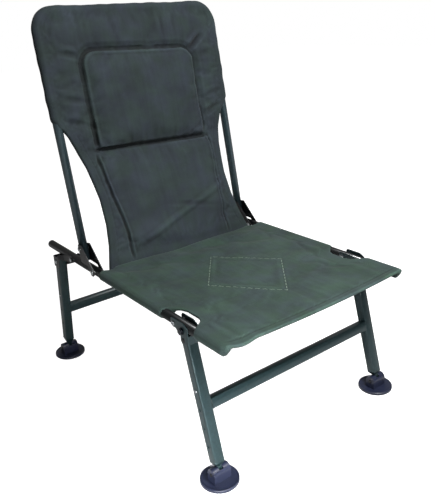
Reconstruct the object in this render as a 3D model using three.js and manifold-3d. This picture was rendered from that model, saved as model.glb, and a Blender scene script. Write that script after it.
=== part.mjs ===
import * as THREE from "three";
import { mergeVertices } from "three/addons/utils/BufferGeometryUtils.js";
import Module from "manifold-3d";

const wasm = await Module();
wasm.setup();

// Folding fishing chair. Millimetres, +Z up, the chair faces -Y and +X is its right side.
// Right-hand pieces are built first and the left-hand ones are their mirror images.

// Clearances and working allowances
const GAP = 0.3;
const SIDE_PLAY = 0.4;
const CLOTH_PLAY = 0.6;
const OVERRUN = 4;
const WELD = 0.0005;

// Seat rails
const RAIL_RADIUS = 11;
const RAIL_WALL = 1.5;
const RAIL_X = 260;
const RAIL_Z = 338;
const RAIL_FRONT = -394;
const RAIL_REAR = 404.2;
const RAIL_CAP_PLATE = 3;
const RAIL_CAP_PLUG = 14;
const CAP_EDGE = 1;

// Legs
const LEG_WIDTH = 25;
const LEG_WALL = 1.5;
const LEG_CORNER = 3;
const LEG_HEAD = 7;
const INNER_CORNER = 2;
const INNER_CORNER_SHARE = 0.5;
const PIVOT_Z = 312;
const ANKLE_Z = 24;
const FRONT_PIVOT_Y = -274;
const REAR_PIVOT_Y = 328.85;
const REAR_LEG_SHIFT = 10.6;
const FRONT_LEAN_DEG = -15.35;
const REAR_LEAN_DEG = 7.14;
const FRONT_SHANK = 22.8;
const REAR_SHANK = 31.2;
const INNER_ABOVE_BUTTON = 27;
const FRONT_BUTTON = 112;
const REAR_BUTTON = 109;
const FRONT_PITCH = 42;
const REAR_PITCH = 47;
const FRONT_HOLES = 4;
const REAR_HOLES = 3;
const CROSSBAR_WIDTH = 24;
const FRONT_CROSSBAR = 148;
const REAR_CROSSBAR = 158;
const LEG_CAP_HEIGHT = 2.2;
const LEG_CAP_TAPER = 2;
const LEG_CAP_PLUG = 2.2;

// Buttons and the leaf springs behind them
const BUTTON_RADIUS = 3.7;
const BUTTON_FLANGE_RADIUS = 5.5;
const BUTTON_FLANGE = 1.2;
const BUTTON_PROUD = 2;
const BUTTON_DOME = 1.1;
const SPRING_THICK = 0.8;
const SPRING_WIDTH = 9;
const SPRING_RISE = 10;
const SPRING_FALL = 34;
const SPRING_BEND = 2.4;

// End plugs, feet and ankle pins
const PLUG_SPIGOT = 22;
const PLUG_SHOULDER = 13.8;
const PLUG_FOOT = 13;
const TONGUE_RADIUS = 6.5;
const TONGUE_THICK = 10;
const FOOT_RADIUS = 43;
const FOOT_THICK = 5.5;
const FOOT_RIM = 8;
const FOOT_RIM_WIDTH = 4;
const FOOT_EDGE = 1.5;
const HUB_RADIUS = 13;
const HUB_LENGTH = 44;
const TILT_DEG = 26;
const PIN_RADIUS = 3;
const PIN_HEAD = 4.6;
const PIN_HEAD_HEIGHT = 1.6;

// Leg brackets
const PLATE = 2;
const WEB_REACH = 14.8;
const WEB_DROP = 5.5;
const BEND_RADIUS = 3;
const INNER_BEND_RADIUS = 1;
const SMALL_CORNER = 2;
const WIDE_CORNER = 4;
const LOBE_SHARE = 0.88;
const PIVOT_LOBE = 9;
const FRONT_RIVET_Y = -239.5;
const FRONT_RIVET_Z = 340;
const FRONT_BOLT_Y = -270;
const FRONT_BOLT_Z = 333;
const FRONT_BRACKET_TOP = 351.5;
const FRONT_BRACKET_NOSE = 343;
const REAR_RIVET_Y = 250.7;
const REAR_BRACKET_FOOT = 297;
const REAR_LOBE = 9;
const REAR_SHOULDER = 336;
const JOGGLE_START = 296;
const JOGGLE_END = 308;

// Rivets and bolts
const PIVOT_RADIUS = 4;
const RIVET_RADIUS = 3.5;
const BOLT_RADIUS = 3;
const RIVET_HEAD = 6.2;
const RIVET_HEAD_HEIGHT = 2;
const FLUSH_HEAD_HEIGHT = 1.2;
const PIVOT_HEAD_HEIGHT = 2.6;
const COLLAR_RADIUS = 5.5;
const BOLT_HEAD = 7.4;
const BOLT_HEAD_HEIGHT = 4.6;
const WASHER_RADIUS = 8.2;
const WASHER_THICK = 1.2;
const HEAD_TOP_SHARE = 0.68;
const HEAD_EDGE_SHARE = 0.4;
const RING_BORE_SHARE = 0.5;

// Back frame, in a frame with its origin at the back pivot and Z along the back
const BACK_PIVOT_Y = 128;
const BACK_LEAN_DEG = 10.6;
const BACK_ARM = 51.3;
const TUBE_RADIUS = 11;
const BACK_TOP = 638.5;
const BACK_BEND = 48;
const BACK_RIVET_UP = 56.5;
const BACK_BRACKET_TOP = 68;
const BACK_LOBE = 11;

// Back cover
const SLEEVE_RADIUS = 14.6;
const SLEEVE_END = 358.5;
const PANEL_FRONT = 12.5;
const PANEL_THICK = 15.5;
const PANEL_EDGE = 4;
const PANEL_BEND_UP = 296;
const LOWER_SLOPE = 0.21;
const SEAM_UP = 289.5;
const SEAM_HALF = 6.5;
const SEAM_DEPTH = 5;
const SPLIT_UP = 146.5;
const SKIRT_FOOT = -4;
const SKIRT_FADE = 60;
const HEAD_PAD_TOP = 538.5;
const PAD_HALF = 164;
const PAD_EDGE = 8;
const PAD_RISE = 7;
const PAD_CROWN = 5;
const LUMBAR_SHARE = 0.5;
const CREASE = 1.4;
const CREASE_WAVE = 74;
const COVER_RADIUS = 52;
const WAIST = [
  [0, 232],
  [51.5, 216],
  [107, 206],
  [170, 203],
  [207, 208],
  [274, 219],
  [303.5, 228],
  [352, 247],
];

// Seat cover
const SEAT_SLEEVE = 13.5;
const SEAT_TIP = 6;
const SEAT_TIP_START = -396;
const SEAT_FRONT = -408;
const SEAT_REAR = 93;
const SEAT_TAIL = 102.5;
const SEAT_TAIL_HALF = 222;
const SEAT_THICK = 7;
const SEAT_SAG = 8;
const SEAT_DROP = 1;
const SEAT_FOLD = 1.2;
const SEAT_FOLD_WAVE = 84;
const DIAMOND_Y = -153;
const DIAMOND_X = 116;
const DIAMOND_LENGTH = 142;
const STITCH_GROOVE = 2;
const GROOVE_LIFT_SHARE = 0.3;
const NOTCH_FRONT = -302;
const NOTCH_REAR = -190;
const NOTCH_APEX = 228;
const NOTCH_BACK = 17;
const NOTCH_ROUND = 20;
const NOTCH_MOUTH = 262;

// Facets
const TUBE_SIDES = 20;
const BORE_SIDES = 12;
const SMALL_SIDES = 10;
const HEX_SIDES = 6;
const SLEEVE_SIDES = 16;
const FOOT_SIDES = 24;
const CORNER_STEPS = 2;
const BEND_STEPS = 6;

const FRONT_LEAN = THREE.MathUtils.degToRad(FRONT_LEAN_DEG);
const REAR_LEAN = THREE.MathUtils.degToRad(REAR_LEAN_DEG);
const BACK_LEAN = THREE.MathUtils.degToRad(-BACK_LEAN_DEG);
const HALF_LEG = LEG_WIDTH / 2;
const CHEEK_IN = HALF_LEG + SIDE_PLAY;
const CHEEK_OUT = CHEEK_IN + PLATE;

function finish(color, roughness, metalness) {
  return new THREE.MeshStandardMaterial({ color, roughness, metalness });
}

const FINISH = {
  rail: finish("#4b524d", 0.35, 0.7),
  leg: finish("#68706b", 0.4, 0.7),
  innerLeg: finish("#5a625d", 0.35, 0.7),
  black: finish("#1b1c1e", 0.45, 0.4),
  plastic: finish("#26232b", 0.5, 0),
  silver: finish("#c9ccce", 0.25, 1),
  darkBolt: finish("#3b3e42", 0.25, 0.9),
  spring: finish("#8b9094", 0.3, 1),
  backCloth: finish("#3c4546", 0.9, 0),
  seatCloth: finish("#48584f", 0.9, 0),
};

// Outlines, prisms, turned pieces and booleans

const X = new THREE.Vector3(1, 0, 0);
const Y = new THREE.Vector3(0, 1, 0);
const Z = new THREE.Vector3(0, 0, 1);
const AXIS_TURN = {
  x: new THREE.Matrix4().makeBasis(Y, Z, X),
  y: new THREE.Matrix4().makeBasis(Z, X, Y),
  z: new THREE.Matrix4(),
};

function circle(radius, sides) {
  return Array.from({ length: sides }, (_, i) => {
    const angle = (i / sides) * Math.PI * 2;
    return new THREE.Vector2(Math.cos(angle) * radius, Math.sin(angle) * radius);
  });
}

// Closed outline through [u, v, radius] corners, each one rounded by its own radius
function rounded(corners) {
  const at = (i) => new THREE.Vector2(...corners[(i + corners.length) % corners.length]);
  return corners.flatMap(([, , radius], i) => {
    const corner = at(i);
    if (!radius) return [corner];
    const back = at(i - 1).sub(corner).normalize();
    const ahead = at(i + 1).sub(corner).normalize();
    const half = Math.acos(THREE.MathUtils.clamp(back.dot(ahead), -1, 1)) / 2;
    const inward = back.clone().add(ahead).normalize();
    const centre = corner.clone().addScaledVector(inward, radius / Math.sin(half));
    const start = corner.clone().addScaledVector(back, radius / Math.tan(half)).sub(centre);
    const turn = (Math.PI - 2 * half) * -Math.sign(back.cross(ahead));
    const steps = Math.max(1, Math.ceil((Math.abs(turn) / (Math.PI / 2)) * CORNER_STEPS));
    return Array.from({ length: steps + 1 }, (_, k) => (
      start.clone().rotateAround(new THREE.Vector2(), (turn * k) / steps).add(centre)
    ));
  });
}

function square(width, corner) {
  const half = width / 2;
  const corners = [[-half, -half], [half, -half], [half, half], [-half, half]];
  return rounded(corners.map(([u, v]) => [u, v, corner]));
}

function shapeOf(outline, hole) {
  const shape = new THREE.Shape(outline);
  if (hole) shape.holes.push(new THREE.Path(hole));
  return shape;
}

function squareTube(width, wall, corner) {
  return shapeOf(square(width, corner), square(width - 2 * wall, corner * INNER_CORNER_SHARE));
}

// Prism along an axis; the outline's coordinates are the next two axes in turn
function prism(shape, axis, from, to) {
  const solid = new THREE.ExtrudeGeometry(shape, { depth: to - from, bevelEnabled: false });
  return solid.translate(0, 0, from).applyMatrix4(AXIS_TURN[axis]);
}

function box(x0, x1, y0, y1, z0, z1) {
  const block = new THREE.BoxGeometry(x1 - x0, y1 - y0, z1 - z0);
  return block.translate((x0 + x1) / 2, (y0 + y1) / 2, (z0 + z1) / 2);
}

// Round rod along X
function rod(radius, x0, x1, y, z, sides = SMALL_SIDES) {
  const length = x1 - x0;
  return new THREE.CylinderGeometry(radius, radius, length, sides).rotateZ(Math.PI / 2)
    .translate((x0 + x1) / 2, y, z);
}

// Turned about X from [radius, x] points that start and end on the axis
function turned(profile, sides = SMALL_SIDES) {
  const points = profile.map(([radius, along]) => new THREE.Vector2(radius, along));
  return new THREE.LatheGeometry(points, sides).rotateZ(-Math.PI / 2);
}

// Block with a square section at both ends, along Z
function taper(lowWidth, highWidth, z0, z1) {
  const height = z1 - z0;
  const block = new THREE.CylinderGeometry(highWidth * Math.SQRT1_2, lowWidth * Math.SQRT1_2, height, 4);
  return block.rotateY(Math.PI / 4).rotateX(Math.PI / 2).translate(0, 0, (z0 + z1) / 2);
}

function solidOf(geometry) {
  const bare = new THREE.BufferGeometry();
  bare.setAttribute("position", geometry.getAttribute("position"));
  bare.setIndex(geometry.getIndex());
  const welded = mergeVertices(bare, WELD);
  const index = welded.getIndex().array;
  const faces = [];
  for (let i = 0; i < index.length; i += 3) {
    const [a, b, c] = index.slice(i, i + 3);
    if (a !== b && b !== c && c !== a) faces.push(a, b, c);
  }
  return new wasm.Manifold(new wasm.Mesh({
    numProp: 3,
    vertProperties: new Float32Array(welded.getAttribute("position").array),
    triVerts: new Uint32Array(faces),
  }));
}

function geometryOf(solid) {
  const mesh = solid.getMesh();
  const geometry = new THREE.BufferGeometry();
  geometry.setAttribute("position", new THREE.BufferAttribute(mesh.vertProperties, 3));
  geometry.setIndex(new THREE.BufferAttribute(mesh.triVerts, 1));
  geometry.computeVertexNormals();
  return geometry;
}

function join(...parts) {
  return geometryOf(wasm.Manifold.union(parts.map(solidOf)));
}

function cut(body, ...tools) {
  return geometryOf(wasm.Manifold.difference([body, ...tools].map(solidOf)));
}

function common(...parts) {
  return geometryOf(wasm.Manifold.intersection(parts.map(solidOf)));
}

function mirrored(geometry) {
  const copy = geometry.clone().scale(-1, 1, 1);
  const index = copy.getIndex().array;
  for (let i = 0; i < index.length; i += 3) {
    [index[i], index[i + 1]] = [index[i + 1], index[i]];
  }
  copy.computeVertexNormals();
  return copy;
}

const group = new THREE.Group();

function add(name, geometry, material) {
  const mesh = new THREE.Mesh(geometry, material);
  mesh.name = name;
  group.add(mesh);
}

function addPair(name, geometry, material) {
  const clean = join(geometry);
  add(`${name}_right`, clean, material);
  add(`${name}_left`, mirrored(clean), material);
}

// Fasteners along X between two faces, with a head outside each

function rivet({ radius, head, height, from, to, y, z, ringed = false }) {
  const low = from - GAP;
  const high = to + GAP;
  const rim = height * HEAD_EDGE_SHARE;
  const crown = head * HEAD_TOP_SHARE;
  const bore = head * RING_BORE_SHARE;
  const nearHead = [[0, low - height], [crown, low - height], [head, low - rim], [head, low]];
  const farHead = [[head, high], [head, high + rim], [crown, high + height]];
  const middle = ringed
    ? [[bore, high + height], [bore, high + rim], [0, high + rim]]
    : [[0, high + height]];
  return turned([...nearHead, [radius, low], [radius, high], ...farHead, ...middle]).translate(0, y, z);
}

function collar(x0, x1, y, z) {
  return rod(COLLAR_RADIUS, x0 + GAP, x1 - GAP, y, z);
}

// Side rails and their rear end caps

const railShape = shapeOf(circle(RAIL_RADIUS, TUBE_SIDES), circle(RAIL_RADIUS - RAIL_WALL, TUBE_SIDES));
const throughRail = (radius, y, z) => (
  rod(radius + GAP, RAIL_X - RAIL_RADIUS - OVERRUN, RAIL_X + RAIL_RADIUS + OVERRUN, y, z)
);
const rail = prism(railShape, "y", RAIL_FRONT, RAIL_REAR)
  .translate(RAIL_X, 0, RAIL_Z);
addPair("side_rail", cut(
  rail,
  throughRail(RIVET_RADIUS, FRONT_RIVET_Y, FRONT_RIVET_Z),
  throughRail(BOLT_RADIUS, FRONT_BOLT_Y, FRONT_BOLT_Z),
  throughRail(PIVOT_RADIUS, BACK_PIVOT_Y, RAIL_Z),
  throughRail(RIVET_RADIUS, REAR_RIVET_Y, RAIL_Z),
), FINISH.rail);

const capPlug = RAIL_RADIUS - RAIL_WALL - SIDE_PLAY;
const capFace = RAIL_REAR + GAP;
const railCap = turned([
  [0, capFace - RAIL_CAP_PLUG],
  [capPlug, capFace - RAIL_CAP_PLUG],
  [capPlug, capFace],
  [RAIL_RADIUS, capFace],
  [RAIL_RADIUS, capFace + RAIL_CAP_PLATE - CAP_EDGE],
  [RAIL_RADIUS - CAP_EDGE, capFace + RAIL_CAP_PLATE],
  [0, capFace + RAIL_CAP_PLATE],
], TUBE_SIDES).rotateZ(Math.PI / 2).translate(RAIL_X, 0, RAIL_Z);
addPair("rail_cap", railCap, FINISH.black);

// Front leg bracket: a U whose web is in front of the leg, below the rail

const frontFace = FRONT_PIVOT_Y - WEB_REACH - PLATE;
const frontLobe = RIVET_HEAD + PLATE;
const frontBracketEnd = FRONT_RIVET_Y + frontLobe;
const frontPlan = rounded([
  [RAIL_X - CHEEK_OUT, frontBracketEnd, 0],
  [RAIL_X - CHEEK_OUT, frontFace, BEND_RADIUS],
  [RAIL_X + CHEEK_OUT, frontFace, BEND_RADIUS],
  [RAIL_X + CHEEK_OUT, frontBracketEnd, 0],
  [RAIL_X + CHEEK_IN, frontBracketEnd, 0],
  [RAIL_X + CHEEK_IN, frontFace + PLATE, INNER_BEND_RADIUS],
  [RAIL_X - CHEEK_IN, frontFace + PLATE, INNER_BEND_RADIUS],
  [RAIL_X - CHEEK_IN, frontBracketEnd, 0],
]);
const webFoot = PIVOT_Z - WEB_DROP;
const lobeFoot = PIVOT_Z - PIVOT_LOBE;
const frontSide = rounded([
  [frontFace, webFoot, 0],
  [FRONT_PIVOT_Y - PIVOT_LOBE, webFoot, SMALL_CORNER],
  [FRONT_PIVOT_Y - PIVOT_LOBE / 2, lobeFoot, SMALL_CORNER],
  [FRONT_PIVOT_Y + PIVOT_LOBE, lobeFoot, PIVOT_LOBE * LOBE_SHARE],
  [FRONT_PIVOT_Y + PIVOT_LOBE, PIVOT_Z + PIVOT_LOBE, PIVOT_LOBE / 2],
  [FRONT_RIVET_Y - frontLobe, FRONT_RIVET_Z - frontLobe, SMALL_CORNER],
  [frontBracketEnd, FRONT_RIVET_Z - frontLobe, frontLobe * LOBE_SHARE],
  [frontBracketEnd, FRONT_BRACKET_TOP, PIVOT_LOBE / 2],
  [FRONT_PIVOT_Y, FRONT_BRACKET_TOP, BEND_RADIUS],
  [frontFace, FRONT_BRACKET_NOSE, BEND_RADIUS],
]);
const throughFront = (radius, y, z) => (
  rod(radius + GAP, RAIL_X - CHEEK_OUT - OVERRUN, RAIL_X + CHEEK_OUT + OVERRUN, y, z)
);
const railBottom = RAIL_Z - RAIL_RADIUS;
addPair("front_leg_bracket", cut(
  common(
    prism(shapeOf(frontPlan), "z", lobeFoot - OVERRUN, FRONT_BRACKET_TOP + OVERRUN),
    prism(shapeOf(frontSide), "x", RAIL_X - CHEEK_OUT - OVERRUN, RAIL_X + CHEEK_OUT + OVERRUN),
  ),
  box(RAIL_X - CHEEK_IN, RAIL_X + CHEEK_IN, frontFace - OVERRUN, FRONT_PIVOT_Y, railBottom - GAP,
    FRONT_BRACKET_TOP + OVERRUN),
  throughFront(RIVET_RADIUS, FRONT_RIVET_Y, FRONT_RIVET_Z),
  throughFront(BOLT_RADIUS, FRONT_BOLT_Y, FRONT_BOLT_Z),
  throughFront(PIVOT_RADIUS, FRONT_PIVOT_Y, PIVOT_Z),
), FINISH.leg);

const frontCollars = (y, z) => [
  collar(RAIL_X - CHEEK_IN, RAIL_X - RAIL_RADIUS, y, z),
  collar(RAIL_X + RAIL_RADIUS, RAIL_X + CHEEK_IN, y, z),
];
addPair("front_bracket_rivet", join(
  rivet({
    radius: RIVET_RADIUS,
    head: RIVET_HEAD,
    height: RIVET_HEAD_HEIGHT,
    from: RAIL_X - CHEEK_OUT,
    to: RAIL_X + CHEEK_OUT,
    y: FRONT_RIVET_Y,
    z: FRONT_RIVET_Z,
    ringed: true,
  }),
  ...frontCollars(FRONT_RIVET_Y, FRONT_RIVET_Z),
), FINISH.silver);

const boltFace = RAIL_X + CHEEK_OUT + GAP;
const boltBack = RAIL_X - CHEEK_OUT - GAP;
addPair("front_bracket_bolt", join(
  rod(BOLT_RADIUS, boltBack - BOLT_HEAD_HEIGHT, boltFace + WASHER_THICK, FRONT_BOLT_Y, FRONT_BOLT_Z),
  rod(WASHER_RADIUS, boltFace, boltFace + WASHER_THICK, FRONT_BOLT_Y, FRONT_BOLT_Z, TUBE_SIDES),
  rod(BOLT_HEAD, boltFace + WASHER_THICK, boltFace + WASHER_THICK + BOLT_HEAD_HEIGHT, FRONT_BOLT_Y,
    FRONT_BOLT_Z, HEX_SIDES),
  rod(BOLT_HEAD, boltBack - BOLT_HEAD_HEIGHT, boltBack, FRONT_BOLT_Y, FRONT_BOLT_Z, HEX_SIDES),
  ...frontCollars(FRONT_BOLT_Y, FRONT_BOLT_Z),
), FINISH.darkBolt);

// Rear leg bracket: a U whose cheeks step outward behind the rail rivet, web behind the leg

const rearLegX = RAIL_X + REAR_LEG_SHIFT;
const rearFace = REAR_PIVOT_Y + WEB_REACH;
const rearBracketStart = REAR_RIVET_Y - REAR_LOBE;
const innerCheek = [RAIL_X - RAIL_RADIUS - SIDE_PLAY, rearLegX - CHEEK_IN];
const outerCheek = [RAIL_X + CHEEK_IN, rearLegX + CHEEK_IN];
const rearPlan = rounded([
  [innerCheek[0] - PLATE, rearBracketStart, 0],
  [innerCheek[0] - PLATE, JOGGLE_START, BEND_RADIUS],
  [innerCheek[1] - PLATE, JOGGLE_END, BEND_RADIUS],
  [innerCheek[1] - PLATE, rearFace + PLATE, BEND_RADIUS],
  [outerCheek[1] + PLATE, rearFace + PLATE, BEND_RADIUS],
  [outerCheek[1] + PLATE, JOGGLE_END, BEND_RADIUS],
  [outerCheek[0] + PLATE, JOGGLE_START, BEND_RADIUS],
  [outerCheek[0] + PLATE, rearBracketStart, 0],
  [outerCheek[0], rearBracketStart, 0],
  [outerCheek[0], JOGGLE_START, BEND_RADIUS],
  [outerCheek[1], JOGGLE_END, BEND_RADIUS],
  [outerCheek[1], rearFace, INNER_BEND_RADIUS],
  [innerCheek[1], rearFace, INNER_BEND_RADIUS],
  [innerCheek[1], JOGGLE_END, BEND_RADIUS],
  [innerCheek[0], JOGGLE_START, BEND_RADIUS],
  [innerCheek[0], rearBracketStart, 0],
]);
const rearTop = railBottom - SIDE_PLAY;
const rearBack = [
  [rearFace + PLATE, REAR_BRACKET_FOOT, 0],
  [rearFace + PLATE, rearTop, 0],
];
const rearNose = [
  [REAR_RIVET_Y + REAR_LOBE, RAIL_Z + REAR_LOBE, REAR_LOBE / 2],
  [rearBracketStart, RAIL_Z + REAR_LOBE, REAR_LOBE * LOBE_SHARE],
  [rearBracketStart, RAIL_Z - REAR_LOBE, REAR_LOBE / 2],
];
const rearInnerSide = rounded([
  [(REAR_PIVOT_Y + JOGGLE_END) / 2, REAR_BRACKET_FOOT + PLATE, PIVOT_LOBE],
  ...rearBack,
  [JOGGLE_START - PLATE, rearTop, SMALL_CORNER],
  ...rearNose,
]);
// The folded leg passes inside the outer cheek, under its step
const foldedTop = PIVOT_Z + HALF_LEG - PLATE;
const rearOuterSide = rounded([
  [JOGGLE_START, foldedTop, WIDE_CORNER],
  [JOGGLE_END + GAP, foldedTop, 0],
  [JOGGLE_END + WIDE_CORNER, REAR_BRACKET_FOOT, SMALL_CORNER],
  ...rearBack,
  [REAR_PIVOT_Y - PIVOT_LOBE, rearTop, SMALL_CORNER],
  [JOGGLE_END, REAR_SHOULDER, WIDE_CORNER],
  ...rearNose,
]);
const rearLow = innerCheek[0] - PLATE - OVERRUN;
const rearHigh = outerCheek[1] + PLATE + OVERRUN;
addPair("rear_leg_bracket", cut(
  common(
    prism(shapeOf(rearPlan), "z", REAR_BRACKET_FOOT - OVERRUN, RAIL_Z + REAR_LOBE + OVERRUN),
    join(
      prism(shapeOf(rearInnerSide), "x", rearLow, rearLegX),
      prism(shapeOf(rearOuterSide), "x", rearLegX, rearHigh),
    ),
  ),
  rod(RIVET_RADIUS + GAP, rearLow, rearHigh, REAR_RIVET_Y, RAIL_Z),
  rod(PIVOT_RADIUS + GAP, rearLow, rearHigh, REAR_PIVOT_Y, PIVOT_Z),
), FINISH.black);

addPair("rear_bracket_rivet", join(
  rivet({
    radius: RIVET_RADIUS,
    head: RIVET_HEAD,
    height: RIVET_HEAD_HEIGHT,
    from: innerCheek[0] - PLATE,
    to: outerCheek[0] + PLATE,
    y: REAR_RIVET_Y,
    z: RAIL_Z,
  }),
  collar(RAIL_X + RAIL_RADIUS, outerCheek[0], REAR_RIVET_Y, RAIL_Z),
), FINISH.silver);

// Back pivots: rivets through the rails and the back brackets' cheeks

const backCheekIn = TUBE_RADIUS + SIDE_PLAY;
const backCheekOut = backCheekIn + PLATE;
addPair("back_pivot_rivet", rivet({
  radius: PIVOT_RADIUS,
  head: RIVET_HEAD,
  height: PIVOT_HEAD_HEIGHT,
  from: RAIL_X - backCheekOut,
  to: RAIL_X + backCheekOut,
  y: BACK_PIVOT_Y,
  z: RAIL_Z,
}), FINISH.silver);

// Legs, each built with its pivot at the origin and the leg running down -Z

const LEG_SETS = [
  {
    name: "front",
    x: RAIL_X,
    y: FRONT_PIVOT_Y,
    lean: FRONT_LEAN,
    shank: FRONT_SHANK,
    button: FRONT_BUTTON,
    pitch: FRONT_PITCH,
    holes: FRONT_HOLES,
    crossbar: FRONT_CROSSBAR,
    pivotHead: FLUSH_HEAD_HEIGHT,
    capped: false,
  },
  {
    name: "rear",
    x: rearLegX,
    y: REAR_PIVOT_Y,
    lean: REAR_LEAN,
    shank: REAR_SHANK,
    button: REAR_BUTTON,
    pitch: REAR_PITCH,
    holes: REAR_HOLES,
    crossbar: REAR_CROSSBAR,
    pivotHead: PIVOT_HEAD_HEIGHT,
    capped: true,
  },
];

// Bent strip of spring steel in the leg's XZ plane: outline of a path's two sides
function springShape(nearX, farX, top, bottom) {
  const middle = (nearX + farX) / 2;
  const side = (offset) => [
    [nearX - offset, top, 0],
    [nearX - offset, top - SPRING_RISE * 2, SPRING_BEND],
    [middle + SPRING_BEND - offset, bottom + offset, SPRING_BEND - offset],
    [middle - SPRING_BEND + offset, bottom + offset, SPRING_BEND - offset],
    [farX + offset, top - SPRING_RISE * 2, SPRING_BEND],
    [farX + offset, top, 0],
  ];
  return shapeOf(rounded([...side(0), ...side(SPRING_THICK).reverse()]));
}

// Room round an upright end plug's tongue as the foot tilts, about the pin
const pocketRadius = TONGUE_RADIUS + CLOTH_PLAY;
const pocketSlot = TONGUE_THICK / 2 + GAP;
const pocketSides = [-TILT_DEG, TILT_DEG].map((tilt) => (
  box(-pocketSlot, pocketSlot, -pocketRadius, pocketRadius, 0, 2 * HUB_RADIUS)
    .rotateX(THREE.MathUtils.degToRad(tilt))
));
const pocketTop = prism(shapeOf([
  new THREE.Vector2(),
  ...[-TILT_DEG, TILT_DEG].map((tilt) => (
    new THREE.Vector2(0, 2 * HUB_RADIUS).rotateAround(new THREE.Vector2(), THREE.MathUtils.degToRad(tilt))
  )),
]), "x", -pocketSlot, pocketSlot);
const tonguePocket = join(
  rod(pocketRadius, -pocketSlot, pocketSlot, 0, 0, TUBE_SIDES),
  ...pocketSides,
  pocketTop,
);

const innerWidth = LEG_WIDTH - 2 * LEG_WALL - 2 * GAP;
const innerVoid = innerWidth - 2 * LEG_WALL;

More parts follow.
